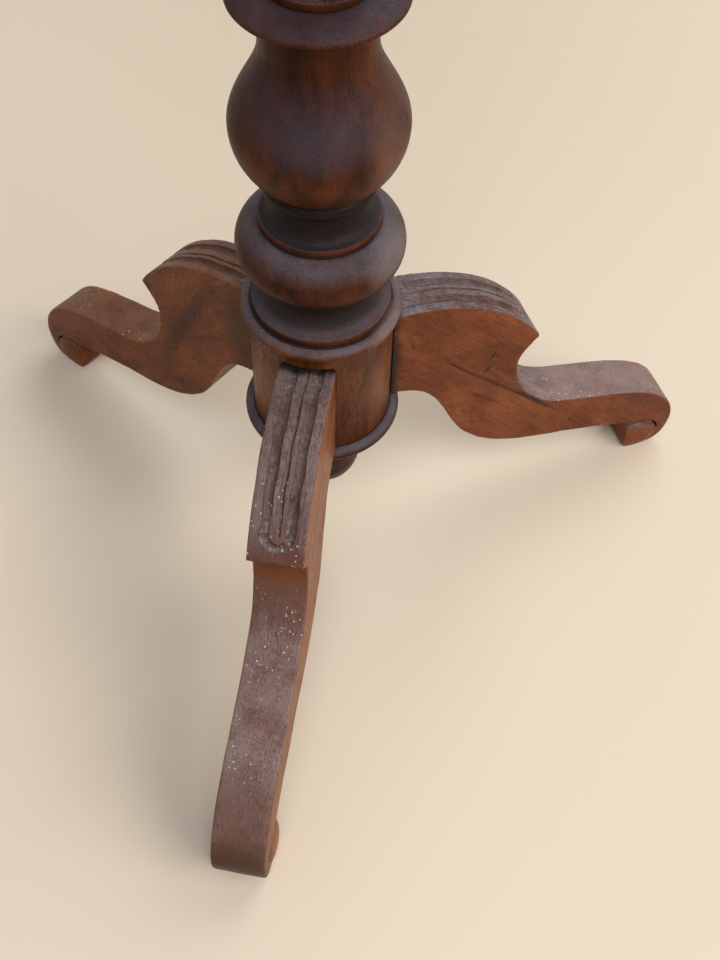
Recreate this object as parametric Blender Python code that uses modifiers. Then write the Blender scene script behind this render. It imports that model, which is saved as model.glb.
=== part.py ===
"""Tripod plant stand: a turned pedestal on three sawn and carved legs, with a round top.

The column is turned in sections, each with a round tenon at its foot that sits in the section below.
The legs slide up into dovetail housings in the hub, and a turned base ring closes the housings.
Metres, +Z up, origin on the floor under the column's axis.
"""
import math

import bmesh
import bpy
from mathutils import Matrix, Vector
from mathutils.geometry import interpolate_bezier

# Joints and turning
FIT = 0.0003                    # clearance between seated faces
TURN_STEPS = 30                 # facets round the column
FACET_DEPTH = 0.0002            # deepest facet on a curved profile
SOCKET_ROOM = 0.0006            # air left under a tenon
ARRIS_ANGLE = 35.0              # edges sharper than this stay crisp, in degrees
COVE_WAIST = 0.38               # share of a cove's height above its narrowest part

# Hub
HUB_RADIUS = 0.0358
HUB_BASE_HEIGHT = 0.1181        # hub's underside above the floor
HUB_BARREL = 0.0689             # plain cylinder that takes the legs
HUB_RING_PROJECTION = 0.0035
HUB_RING_HEIGHT = 0.0063
HUB_WEB = 0.0090                # solid wood between the hub's two sockets

# Base ring and drop finial
BASE_RING_PROJECTION = 0.0049
BASE_RING_HEIGHT = 0.0070
FINIAL_RADIUS = 0.0205
FINIAL_CAP_RADIUS = 0.0160
FINIAL_CAP_HEIGHT = 0.0039
FINIAL_WAIST_RADIUS = 0.0130
FINIAL_WAIST_DROP = 0.0103      # below the base ring
FINIAL_BELLY_DROP = 0.0355
FINIAL_LENGTH = 0.0575
FINIAL_SHOULDER_SLOPE = -30.0
FINIAL_TENON_RADIUS = 0.0107
FINIAL_TENON = 0.0280           # reach into the hub

# Ring turning, between hub and vase
FOOT_FILLET_RADIUS = 0.0337
FOOT_FILLET_HEIGHT = 0.0036
LOWER_COVE_RADIUS = 0.0256
LOWER_COVE_HEIGHT = 0.0217
TORUS_RADIUS = 0.0396
TORUS_CORE_RADIUS = 0.0282
TORUS_HEIGHT = 0.0257
NECK_FILLET_RADIUS = 0.0281
NECK_FILLET_HEIGHT = 0.0044
UPPER_COVE_RADIUS = 0.0217
UPPER_COVE_HEIGHT = 0.0154
BEAD_RADIUS = 0.0268
BEAD_CORE_RADIUS = 0.0239
BEAD_HEIGHT = 0.0072
RING_TENON_RADIUS = 0.0127

# Vase with its collar
VASE_RADIUS = 0.0387
VASE_SEAT_RADIUS = 0.0258
VASE_BELLY_HEIGHT = 0.0265
VASE_SHOULDER_HEIGHT = 0.0399
VASE_NECK_RADIUS = 0.0243
VASE_NECK_LENGTH = 0.0158
COLLAR_RADIUS = 0.0362
COLLAR_CORE_RADIUS = 0.0236
COLLAR_HEIGHT = 0.0083
VASE_SEAT_SLOPE = -142.0        # heading of the outline at the seat, in degrees
VASE_TENON_RADIUS = 0.0120
VASE_TENON = 0.0300

# Upper shaft
SHAFT_FILLET_RADIUS = 0.0218
SHAFT_FILLET_HEIGHT = 0.0037
SHAFT_COVE_RADIUS = 0.0176
SHAFT_COVE_HEIGHT = 0.0140
SHAFT_BEAD_RADIUS = 0.0216
SHAFT_BEAD_HEIGHT = 0.0070
BALUSTER_FOOT_RADIUS = 0.0162
BALUSTER_RADIUS = 0.0238
BALUSTER_SWELL_HEIGHT = 0.0560
BALUSTER_TAPER_HEIGHT = 0.1800
BALUSTER_NECK_RADIUS = 0.0140
ASTRAGAL_RADIUS = 0.0186
ASTRAGAL_HEIGHT = 0.0080
NECKING_HEIGHT = 0.0240
FLARE_RADIUS = 0.0260
FLARE_HEIGHT = 0.0320
ABACUS_RADIUS = 0.0290
ABACUS_HEIGHT = 0.0105
SHAFT_TENON_RADIUS = 0.0115
SHAFT_TENON = 0.0350
TOP_TENON_RADIUS = 0.0120

# Top, its block and the wedge
TOP_RADIUS = 0.2269
TOP_THICKNESS = 0.0200
TOP_STEPS = 48
TOP_NOSE_HEIGHT = 0.0120        # rounded upper part of the moulded edge
TOP_STEP_WIDTH = 0.0030
TOP_COVE_WIDTH = 0.0110
TOP_SEAM_OFFSET = 0.0756        # half width of the middle board
BLOCK_RADIUS = 0.0720
BLOCK_THICKNESS = 0.0220
BLOCK_EDGE_HEIGHT = 0.0080
BLOCK_HOLLOW_WIDTH = 0.0200
KERF_WIDTH = 0.0040
KERF_DEPTH = 0.0160
WEDGE_THIN_END = 0.0016

# Wood screws
SCREW_HEAD_RADIUS = 0.0040
SCREW_HEAD_HEIGHT = 0.0025
SCREW_SHANK_RADIUS = 0.0018
SCREW_POINT = 0.0040
SCREW_STEPS = 12
BLOCK_SCREW_COUNT = 4
BLOCK_SCREW_INSET = 0.0110      # from the edge of the block's flat
BLOCK_SCREW_BITE = 0.0100       # reach into the middle board
RING_SCREW_BITE = 0.0150        # reach into the hub

# Legs: reaches from the column's axis, heights from the floor, drops from the leg's top
LEG_AZIMUTHS = {"leg_front": -90.0, "leg_right": 30.0, "leg_left": 150.0}
LEG_THICKNESS = 0.0280
LEG_TOP_DROP = 0.0080           # leg's top below the hub ring
LEG_UNDER_RISE = 0.0029         # leg's foot end above the base ring
SEAT_GAP = 0.0010               # hub's seat above the leg's top
KNEE_FLAT = 0.0042
KNEE_TIP_REACH = 0.1196
KNEE_TIP_DROP = 0.0440
UNDERCUT_DEPTH = 0.0107
UNDERCUT_DROP = 0.0631
INSTEP_REACH = 0.1417
INSTEP_HEIGHT = 0.0714
FOOT_LENGTH = 0.0852            # instep to toe
TOE_CROWN_SETBACK = 0.0300
TOE_CROWN_HEIGHT = 0.0563
TOE_NOSE_HEIGHT = 0.0201
SOLE_SETBACK = 0.0141
SOLE_LENGTH = 0.0120
SCROLL_END_SETBACK = 0.0309
SCROLL_END_HEIGHT = 0.0165
SCROLL_HEEL_HEIGHT = 0.0070
SCROLL_TOP_SETBACK = 0.0204
SCROLL_TOP_HEIGHT = 0.0224
SCROLL_SLIT = 0.0018
SLIT_END_SETBACK = 0.0100
SLIT_END_HEIGHT = 0.0125
SLIT_MOUTH_SETBACK = 0.0304
ARCH_SETBACK = 0.0718
ARCH_HEIGHT = 0.0371
BELLY_REACH = 0.1071
BELLY_HEIGHT = 0.0484
HEEL_REACH = 0.0793
HEEL_HEIGHT = 0.0694
THROAT_REACH = 0.0552
THROAT_DROP = 0.0092            # below the leg's underside at the hub
SHOULDER_MARGIN = 0.0062        # leg's shoulder past the base ring
SHOULDER_DROP = 0.0034
# Headings of the outline at its stations, in degrees, going round from the knee's root
KNEE_TIP_SLOPE = -58.9
UNDERCUT_SLOPE = -128.8
INSTEP_SLOPE = -17.0
TOE_CROWN_SLOPE = -21.0
SLIT_MOUTH_SLOPE = 152.0
ARCH_SLOPE = 168.6
BELLY_SLOPE = 157.4
HEEL_SLOPE = 126.0
THROAT_SLOPE = 134.0
SHOULDER_SLOPE = 157.0
UNDERSIDE_SLOPE = 166.0
# Dovetail tongue and carved flute
TONGUE_DEPTH = 0.0130
TONGUE_SHOULDER = 0.0075        # leg's face to the tongue's neck
TONGUE_CHEEK = 0.0045           # leg's face to the tongue's wide end
TONGUE_STOP = 0.0120            # tongue's top below the leg's top
TONGUE_FOOT = 0.0010            # tongue's foot above the leg's underside
FLUTE_RADIUS = 0.0028
FLUTE_LIFT = 0.0012             # flute's centre above the knee
FLUTE_SPACING = 0.0125
FLUTE_END_MARGIN = 0.0060       # flute's bend to the knee's tip
FLUTE_RUN_STEPS = 8
FLUTE_BEND_STEPS = 6

# Heights worked out from the stack
HUB_SHOULDER = HUB_BASE_HEIGHT + HUB_BARREL
HUB_TOP = HUB_SHOULDER + HUB_RING_HEIGHT
RING_FOOT = HUB_TOP + FIT
RING_TOP = (RING_FOOT + FOOT_FILLET_HEIGHT + LOWER_COVE_HEIGHT + TORUS_HEIGHT + NECK_FILLET_HEIGHT
            + UPPER_COVE_HEIGHT + BEAD_HEIGHT)
RING_TENON = HUB_TOP - HUB_BASE_HEIGHT - FINIAL_TENON - HUB_WEB
VASE_FOOT = RING_TOP + FIT
VASE_TOP = (VASE_FOOT + VASE_BELLY_HEIGHT + VASE_SHOULDER_HEIGHT + VASE_NECK_LENGTH + COLLAR_HEIGHT)
SHAFT_FOOT = VASE_TOP + FIT
BALUSTER_FOOT = SHAFT_FOOT + SHAFT_FILLET_HEIGHT + SHAFT_COVE_HEIGHT + SHAFT_BEAD_HEIGHT
BALUSTER_TOP = BALUSTER_FOOT + BALUSTER_SWELL_HEIGHT + BALUSTER_TAPER_HEIGHT
SHAFT_TOP = BALUSTER_TOP + ASTRAGAL_HEIGHT + NECKING_HEIGHT + FLARE_HEIGHT + ABACUS_HEIGHT
BLOCK_FOOT = SHAFT_TOP + FIT
BLOCK_TOP = BLOCK_FOOT + BLOCK_THICKNESS
TOP_FOOT = BLOCK_TOP + FIT
STAND_HEIGHT = TOP_FOOT + TOP_THICKNESS
BASE_RING_TOP = HUB_BASE_HEIGHT - FIT
BASE_RING_FOOT = BASE_RING_TOP - BASE_RING_HEIGHT
BASE_RING_RADIUS = HUB_RADIUS + BASE_RING_PROJECTION
RING_SCREW_CIRCLE = (HUB_RADIUS + FINIAL_TENON_RADIUS) / 2
BLOCK_SCREW_CIRCLE = BLOCK_RADIUS - BLOCK_HOLLOW_WIDTH - BLOCK_SCREW_INSET
TOE_REACH = INSTEP_REACH + FOOT_LENGTH
TONGUE_NECK_WIDTH = LEG_THICKNESS - 2 * TONGUE_SHOULDER
TONGUE_WIDTH = LEG_THICKNESS - 2 * TONGUE_CHEEK
LEG_TOP = HUB_SHOULDER - LEG_TOP_DROP
LEG_UNDER = HUB_BASE_HEIGHT + LEG_UNDER_RISE
HUB_FLAT = math.sqrt(HUB_RADIUS ** 2 - (LEG_THICKNESS / 2) ** 2)
LEG_ROOT = HUB_FLAT + FIT

UP, DOWN, OUT, IN = math.radians(90), math.radians(-90), 0.0, math.radians(180)


def clear_scene():
    for old in list(bpy.data.objects):
        bpy.data.objects.remove(old, do_unlink=True)


def make_collection(name):
    group = bpy.data.collections.new(name)
    bpy.context.scene.collection.children.link(group)
    return group


def make_material(name, colour, roughness, metallic):
    material = bpy.data.materials.new(name)
    material.use_nodes = True
    shader = material.node_tree.nodes["Principled BSDF"]
    shader.inputs["Base Color"].default_value = (*colour, 1.0)
    shader.inputs["Roughness"].default_value = roughness
    shader.inputs["Metallic"].default_value = metallic
    return material


clear_scene()
STAND = make_collection("plant_stand")
CUTTERS = make_collection("cutters")
COLUMN_WOOD = (0.085, 0.030, 0.017)
LEG_WOOD = (0.130, 0.046, 0.022)
TOP_WOOD = (0.110, 0.040, 0.021)
SCREW_STEEL = (0.160, 0.145, 0.130)
WOOD_ROUGHNESS = 0.42
SCREW_ROUGHNESS = 0.45


def place(mesh, name, colour, roughness=WOOD_ROUGHNESS, metallic=0.0):
    """A finished sub-part in the stand's collection, with its own material."""
    part = bpy.data.objects.new(name, mesh)
    mesh.materials.append(make_material(name + "_finish", colour, roughness, metallic))
    STAND.objects.link(part)
    return part


def cutter(mesh, name):
    """A tool shape for the Boolean cuts and unions, never shown."""
    tool = bpy.data.objects.new(name, mesh)
    tool.hide_render = True
    tool.display_type = "WIRE"
    CUTTERS.objects.link(tool)
    return tool


def combine(part, tool, operation="DIFFERENCE"):
    modifier = part.modifiers.new(operation.lower() + "_" + tool.name, "BOOLEAN")
    modifier.operation = operation
    modifier.solver = "EXACT"
    modifier.object = tool


def facets(radius, turning):
    """Number of straight facets that keep a curve within the facet depth."""
    if turning < 1e-4:
        return 1
    return math.ceil(turning / (2 * math.acos(1 - min(FACET_DEPTH / radius, 0.5))))


def bend(start, leave, end, arrive):
    """Points of a smooth stretch between two headings, as close to an arc as they allow."""
    start, end = Vector(start), Vector(end)
    across = end - start
    chord = across.length
    heading = math.atan2(across.y, across.x)
    swing_out = math.remainder(heading - leave, math.tau)
    swing_in = math.remainder(arrive - heading, math.tau)
    half_turn = abs(swing_out + swing_in) / 2
    pull = chord / 3
    if half_turn > 1e-4:
        pull = chord * (2 / 3) * math.tan(half_turn / 2) / math.sin(half_turn)
    first = start + pull * Vector((math.cos(leave), math.sin(leave)))
    second = end - pull * Vector((math.cos(arrive), math.sin(arrive)))
    turning = abs(swing_out) + abs(swing_in)
    if swing_out * swing_in < 0:
        turning *= 2
    count = facets(chord / max(turning, 1e-4), turning)
    return interpolate_bezier(start, first, second, end, count + 1)


def half_round(core, radius, top, height):
    """Profile of a bead or torus standing out from core to radius, from its top down."""
    middle = top - height / 2
    count = 2 * facets(min(height / 2, radius - core), math.pi / 2)
    angles = [math.pi * (0.5 - i / count) for i in range(count + 1)]
    return [(core + (radius - core) * math.cos(a), middle + height / 2 * math.sin(a)) for a in angles]


def turned(name, profile, pierced=False):
    """Mesh of a turned piece's profile, listed from its top down the outer side to its foot."""
    points = [(radius, 0.0, height) for radius, height in profile]
    edges = [(i, i + 1) for i in range(len(points) - 1)]
    if pierced:
        edges.append((len(points) - 1, 0))
    mesh = bpy.data.meshes.new(name)
    mesh.from_pydata(points, edges, [])
    return mesh


def spin(part, steps=TURN_STEPS):
    screw = part.modifiers.new("turning", "SCREW")
    screw.steps = steps
    screw.render_steps = steps
    screw.use_merge_vertices = True
    screw.merge_threshold = 0.00001
    screw.use_smooth_shade = True


def socket(radius, floor, mouth):
    """Start of a profile whose piece has a round socket in its top."""
    return [(0.0, floor), (radius, floor), (radius, mouth)]


def tenon(radius, shoulder, foot):
    """End of a profile whose piece has a round tenon at its foot."""
    return [(radius, shoulder), (radius, foot), (0.0, foot)]


def box(name, lows, highs, turn=0.0):
    """Rectangular tool between two corners, turned about the column's axis."""
    mesh = bpy.data.meshes.new(name)
    shape = bmesh.new()
    bmesh.ops.create_cube(shape, size=1.0)
    lows, highs = Vector(lows), Vector(highs)
    size = Matrix.Diagonal(highs - lows).to_4x4()
    bmesh.ops.transform(shape, matrix=Matrix.Translation((lows + highs) / 2) @ size, verts=shape.verts)
    shape.transform(Matrix.Rotation(turn, 4, "Z"))
    shape.to_mesh(mesh)
    shape.free()
    return cutter(mesh, name)


def dovetail(name, azimuth, inner, outer, neck_reach, width, neck, foot, top):
    """Dovetail prism along a leg's direction: widest at its inner end, narrow from the neck outwards."""
    plan = [(inner, -width / 2), (neck_reach, -neck / 2), (outer, -neck / 2),
            (outer, neck / 2), (neck_reach, neck / 2), (inner, width / 2)]
    mesh = bpy.data.meshes.new(name)
    shape = bmesh.new()
    face = shape.faces.new([shape.verts.new((x, y, foot)) for x, y in plan])
    raised = bmesh.ops.extrude_face_region(shape, geom=[face])["geom"]
    corners = [item for item in raised if isinstance(item, bmesh.types.BMVert)]
    bmesh.ops.translate(shape, vec=(0.0, 0.0, top - foot), verts=corners)
    bmesh.ops.recalc_face_normals(shape, faces=shape.faces)
    shape.transform(Matrix.Rotation(azimuth, 4, "Z"))
    shape.to_mesh(mesh)
    shape.free()
    return cutter(mesh, name)


def screw_profile(head_face, tip, point, room):
    """Countersunk wood screw, head down: point, plain shank, conical neck and flat head."""
    shank, head = SCREW_SHANK_RADIUS + room, SCREW_HEAD_RADIUS + 2 * room
    neck = head_face + SCREW_HEAD_HEIGHT
    return [(0.0, tip), (shank, tip - point), (shank, neck), (head, head_face)]


def drive_screw(name, head_face, tip, reach, azimuth, pieces):
    """Wood screw driven upwards into pieces, each drilled and countersunk for it."""
    spot = (reach * math.cos(azimuth), reach * math.sin(azimuth), 0.0)
    below = head_face - SCREW_HEAD_HEIGHT
    hole_profile = screw_profile(head_face, tip + SOCKET_ROOM, 0.0, FIT)
    hole_profile += [(hole_profile[-1][0], below), (0.0, below)]
    hole = cutter(turned(name + "_hole", hole_profile), name + "_hole")
    screw = place(turned(name, screw_profile(head_face, tip, SCREW_POINT, 0.0) + [(0.0, head_face)]),
                  name, SCREW_STEEL, SCREW_ROUGHNESS, 1.0)
    for item in (hole, screw):
        item.location = spot
        spin(item, SCREW_STEPS)
    for piece in pieces:
        combine(piece, hole)


# Hub: barrel with a half-round ring at its top, sockets above and below
RING_SOCKET_FLOOR = HUB_TOP - RING_TENON
FINIAL_SOCKET_TOP = HUB_BASE_HEIGHT + FINIAL_TENON
FINIAL_SOCKET_RADIUS = FINIAL_TENON_RADIUS + FIT
hub_profile = (socket(RING_TENON_RADIUS + FIT, RING_SOCKET_FLOOR, HUB_TOP)
               + half_round(HUB_RADIUS, HUB_RADIUS + HUB_RING_PROJECTION, HUB_TOP, HUB_RING_HEIGHT)
               + [(HUB_RADIUS, HUB_BASE_HEIGHT), (FINIAL_SOCKET_RADIUS, HUB_BASE_HEIGHT),
                  (FINIAL_SOCKET_RADIUS, FINIAL_SOCKET_TOP), (0.0, FINIAL_SOCKET_TOP)])
hub = place(turned("hub", hub_profile), "hub", COLUMN_WOOD)
spin(hub)

# Each leg's seat on the hub: a flat as wide as the leg, with a dovetail housing open at the foot
TONGUE_INNER = HUB_FLAT - TONGUE_DEPTH
TONGUE_TOP = LEG_TOP - TONGUE_STOP
for leg_name, degrees in LEG_AZIMUTHS.items():
    turn = math.radians(degrees)
    combine(hub, box("flat_" + leg_name, (HUB_FLAT, -LEG_THICKNESS, HUB_BASE_HEIGHT - HUB_WEB),
                     (HUB_RADIUS + HUB_RING_PROJECTION, LEG_THICKNESS, LEG_TOP + SEAT_GAP), turn))
    combine(hub, dovetail("housing_" + leg_name, turn, TONGUE_INNER - FIT, HUB_RADIUS + HUB_WEB, HUB_FLAT,
                          TONGUE_WIDTH + 2 * FIT, TONGUE_NECK_WIDTH + 2 * FIT,
                          HUB_BASE_HEIGHT - HUB_WEB, TONGUE_TOP + FIT))

# Base ring: turned disc that closes the housings, pierced by the finial's tenon and three screws
ring_edge = BASE_RING_RADIUS - BASE_RING_HEIGHT / 2
base_ring_profile = (half_round(ring_edge, BASE_RING_RADIUS, BASE_RING_TOP, BASE_RING_HEIGHT)
                     + [(FINIAL_SOCKET_RADIUS, BASE_RING_FOOT), (FINIAL_SOCKET_RADIUS, BASE_RING_TOP)])
base_ring = place(turned("base_ring", base_ring_profile, pierced=True), "base_ring", COLUMN_WOOD)
spin(base_ring)
for number, degrees in enumerate(LEG_AZIMUTHS.values(), start=1):
    drive_screw(f"base_ring_screw_{number}", BASE_RING_FOOT, HUB_BASE_HEIGHT + RING_SCREW_BITE,
                RING_SCREW_CIRCLE, math.radians(degrees) + math.pi, (base_ring, hub))

# Drop finial: capped bulb under the base ring, its tenon passing up into the hub
finial_top = BASE_RING_FOOT - FIT
finial_foot = finial_top - FINIAL_LENGTH
cap_foot = finial_top - FINIAL_CAP_HEIGHT
waist = (FINIAL_WAIST_RADIUS, finial_top - FINIAL_WAIST_DROP)
belly = (FINIAL_RADIUS, finial_top - FINIAL_BELLY_DROP)
tenon_top = FINIAL_SOCKET_TOP - SOCKET_ROOM
finial_profile = ([(0.0, tenon_top), (FINIAL_TENON_RADIUS, tenon_top),
                   (FINIAL_TENON_RADIUS, finial_top), (FINIAL_CAP_RADIUS, finial_top)]
                  + bend((FINIAL_CAP_RADIUS, cap_foot), IN, waist, DOWN)
                  + bend(waist, math.radians(FINIAL_SHOULDER_SLOPE), belly, DOWN)[1:]
                  + bend(belly, DOWN, (0.0, finial_foot), IN)[1:])
drop_finial = place(turned("drop_finial", finial_profile), "drop_finial", COLUMN_WOOD)
spin(drop_finial)

# Ring turning: fillet and cove on the hub, big torus, fillet, upper cove and bead under the vase
lower_cove_foot = RING_FOOT + FOOT_FILLET_HEIGHT
torus_foot = lower_cove_foot + LOWER_COVE_HEIGHT
torus_top = torus_foot + TORUS_HEIGHT
upper_cove_foot = torus_top + NECK_FILLET_HEIGHT
bead_foot = upper_cove_foot + UPPER_COVE_HEIGHT
VASE_SOCKET_FLOOR = RING_TOP - VASE_TENON - SOCKET_ROOM
upper_waist = (UPPER_COVE_RADIUS, bead_foot - UPPER_COVE_HEIGHT * COVE_WAIST)
lower_waist = (LOWER_COVE_RADIUS, torus_foot - LOWER_COVE_HEIGHT * COVE_WAIST)
ring_profile = (socket(VASE_TENON_RADIUS + FIT, VASE_SOCKET_FLOOR, RING_TOP)
                + half_round(BEAD_CORE_RADIUS, BEAD_RADIUS, RING_TOP, BEAD_HEIGHT)
                + bend((BEAD_CORE_RADIUS, bead_foot), IN, upper_waist, DOWN)[1:]
                + bend(upper_waist, DOWN, (NECK_FILLET_RADIUS, upper_cove_foot), OUT)[1:]
                + half_round(TORUS_CORE_RADIUS, TORUS_RADIUS, torus_top, TORUS_HEIGHT)
                + bend((TORUS_CORE_RADIUS, torus_foot), IN, lower_waist, DOWN)[1:]
                + bend(lower_waist, DOWN, (FOOT_FILLET_RADIUS, lower_cove_foot), OUT)[1:]
                + [(FOOT_FILLET_RADIUS, RING_FOOT)]
                + tenon(RING_TENON_RADIUS, RING_FOOT, RING_SOCKET_FLOOR + SOCKET_ROOM))
ring_turning = place(turned("ring_turning", ring_profile), "ring_turning", COLUMN_WOOD)
spin(ring_turning)

# Vase: bulb on a small seat, drawn in to a neck under a wide collar
vase_seat = (VASE_SEAT_RADIUS, VASE_FOOT)
vase_belly = (VASE_RADIUS, VASE_FOOT + VASE_BELLY_HEIGHT)
vase_neck = (VASE_NECK_RADIUS, vase_belly[1] + VASE_SHOULDER_HEIGHT)
SHAFT_SOCKET_FLOOR = VASE_TOP - SHAFT_TENON - SOCKET_ROOM
vase_profile = (socket(SHAFT_TENON_RADIUS + FIT, SHAFT_SOCKET_FLOOR, VASE_TOP)
                + half_round(COLLAR_CORE_RADIUS, COLLAR_RADIUS, VASE_TOP, COLLAR_HEIGHT)
                + [(VASE_NECK_RADIUS, vase_neck[1] + VASE_NECK_LENGTH)]
                + bend(vase_neck, DOWN, vase_belly, DOWN)
                + bend(vase_belly, DOWN, vase_seat, math.radians(VASE_SEAT_SLOPE))[1:]
                + tenon(VASE_TENON_RADIUS, VASE_FOOT, RING_TOP - VASE_TENON))
vase = place(turned("vase", vase_profile), "vase", COLUMN_WOOD)
spin(vase)

# Upper shaft: cove and bead on the collar, slender baluster, astragal, flared capital and top tenon
shaft_cove_foot = SHAFT_FOOT + SHAFT_FILLET_HEIGHT
shaft_bead_foot = shaft_cove_foot + SHAFT_COVE_HEIGHT
swell = (BALUSTER_RADIUS, BALUSTER_FOOT + BALUSTER_SWELL_HEIGHT)
necking_foot = BALUSTER_TOP + ASTRAGAL_HEIGHT
flare_foot = necking_foot + NECKING_HEIGHT
flare_top = flare_foot + FLARE_HEIGHT
shaft_waist = (SHAFT_COVE_RADIUS, shaft_bead_foot - SHAFT_COVE_HEIGHT * COVE_WAIST)
tenon_end = BLOCK_TOP - FIT
shaft_profile = ([(0.0, tenon_end), (TOP_TENON_RADIUS, tenon_end), (TOP_TENON_RADIUS, SHAFT_TOP)]
                 + half_round(FLARE_RADIUS, ABACUS_RADIUS, SHAFT_TOP, ABACUS_HEIGHT)
                 + bend((FLARE_RADIUS, flare_top), IN, (BALUSTER_NECK_RADIUS, flare_foot), DOWN)[1:]
                 + half_round(BALUSTER_NECK_RADIUS, ASTRAGAL_RADIUS, necking_foot, ASTRAGAL_HEIGHT)
                 + bend((BALUSTER_NECK_RADIUS, BALUSTER_TOP), DOWN, swell, DOWN)[1:]
                 + bend(swell, DOWN, (BALUSTER_FOOT_RADIUS, BALUSTER_FOOT), DOWN)[1:]
                 + half_round(BALUSTER_FOOT_RADIUS, SHAFT_BEAD_RADIUS, BALUSTER_FOOT, SHAFT_BEAD_HEIGHT)[1:]
                 + [shaft_waist]
                 + bend(shaft_waist, DOWN, (SHAFT_FILLET_RADIUS, shaft_cove_foot), OUT)[1:]
                 + [(SHAFT_FILLET_RADIUS, SHAFT_FOOT)]
                 + tenon(SHAFT_TENON_RADIUS, SHAFT_FOOT, VASE_TOP - SHAFT_TENON))
upper_shaft = place(turned("upper_shaft", shaft_profile), "upper_shaft", COLUMN_WOOD)
spin(upper_shaft)

# Wedge: driven into a saw kerf across the top tenon to spread it in the block
kerf_floor = tenon_end - KERF_DEPTH
combine(upper_shaft, box("kerf", (-KERF_WIDTH / 2, -TOP_TENON_RADIUS * 2, kerf_floor),
                         (KERF_WIDTH / 2, TOP_TENON_RADIUS * 2, TOP_FOOT)))
wedge_half_length = TOP_TENON_RADIUS * math.cos(math.asin(KERF_WIDTH / 2 / TOP_TENON_RADIUS)) - FIT
wedge_foot = kerf_floor + SOCKET_ROOM
wedge_mesh = bpy.data.meshes.new("tenon_wedge")
wedge_shape = bmesh.new()
bmesh.ops.create_cube(wedge_shape, size=1.0)
for vert in wedge_shape.verts:
    thick = WEDGE_THIN_END if vert.co.z < 0 else KERF_WIDTH - 2 * FIT
    height = wedge_foot if vert.co.z < 0 else tenon_end
    vert.co = (vert.co.x * thick, vert.co.y * 2 * wedge_half_length, height)
wedge_shape.to_mesh(wedge_mesh)
wedge_shape.free()
place(wedge_mesh, "tenon_wedge", TOP_WOOD)

# Top block: turned flange that takes the column's tenon and is screwed under the top
bore = TOP_TENON_RADIUS + FIT
block_edge = BLOCK_RADIUS - BLOCK_EDGE_HEIGHT / 2
block_hollow = (BLOCK_RADIUS - BLOCK_HOLLOW_WIDTH, BLOCK_FOOT)
block_profile = (half_round(block_edge, BLOCK_RADIUS, BLOCK_TOP, BLOCK_EDGE_HEIGHT)
                 + bend((block_edge, BLOCK_TOP - BLOCK_EDGE_HEIGHT), IN, block_hollow, DOWN)[1:]
                 + [(bore, BLOCK_FOOT), (bore, BLOCK_TOP)])
top_block = place(turned("top_block", block_profile, pierced=True), "top_block", TOP_WOOD)
spin(top_block)

# Top: three boards glued edge to edge and turned to a disc with a moulded edge
nose_core = TOP_RADIUS - TOP_NOSE_HEIGHT / 2
step_z = STAND_HEIGHT - TOP_NOSE_HEIGHT
cove_start = (nose_core - TOP_STEP_WIDTH, step_z)
top_profile = ([(0.0, STAND_HEIGHT)]
               + half_round(nose_core, TOP_RADIUS, STAND_HEIGHT, TOP_NOSE_HEIGHT)
               + bend(cove_start, DOWN, (cove_start[0] - TOP_COVE_WIDTH, TOP_FOOT), IN)
               + [(0.0, TOP_FOOT)])
BOARDS = {"top_board_left": (-2 * TOP_RADIUS, -TOP_SEAM_OFFSET - FIT / 2),
          "top_board_centre": (-TOP_SEAM_OFFSET + FIT / 2, TOP_SEAM_OFFSET - FIT / 2),
          "top_board_right": (TOP_SEAM_OFFSET + FIT / 2, 2 * TOP_RADIUS)}
boards = {}
for board_name, (near, far) in BOARDS.items():
    boards[board_name] = place(turned(board_name, top_profile), board_name, TOP_WOOD)
    spin(boards[board_name], TOP_STEPS)
    combine(boards[board_name], box("stock_" + board_name, (near, -2 * TOP_RADIUS, BLOCK_FOOT),
                                    (far, 2 * TOP_RADIUS, STAND_HEIGHT + TOP_THICKNESS)), "INTERSECT")
for number in range(BLOCK_SCREW_COUNT):
    drive_screw(f"top_block_screw_{number + 1}", BLOCK_FOOT, TOP_FOOT + BLOCK_SCREW_BITE, BLOCK_SCREW_CIRCLE,
                math.tau * (number + 0.5) / BLOCK_SCREW_COUNT, (top_block, boards["top_board_centre"]))


# Legs: sawn to an S outline with a pointed knee, an undercut and a toe that curls back under itself
def toe(setback, height):
    return (TOE_REACH - setback, height)


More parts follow.
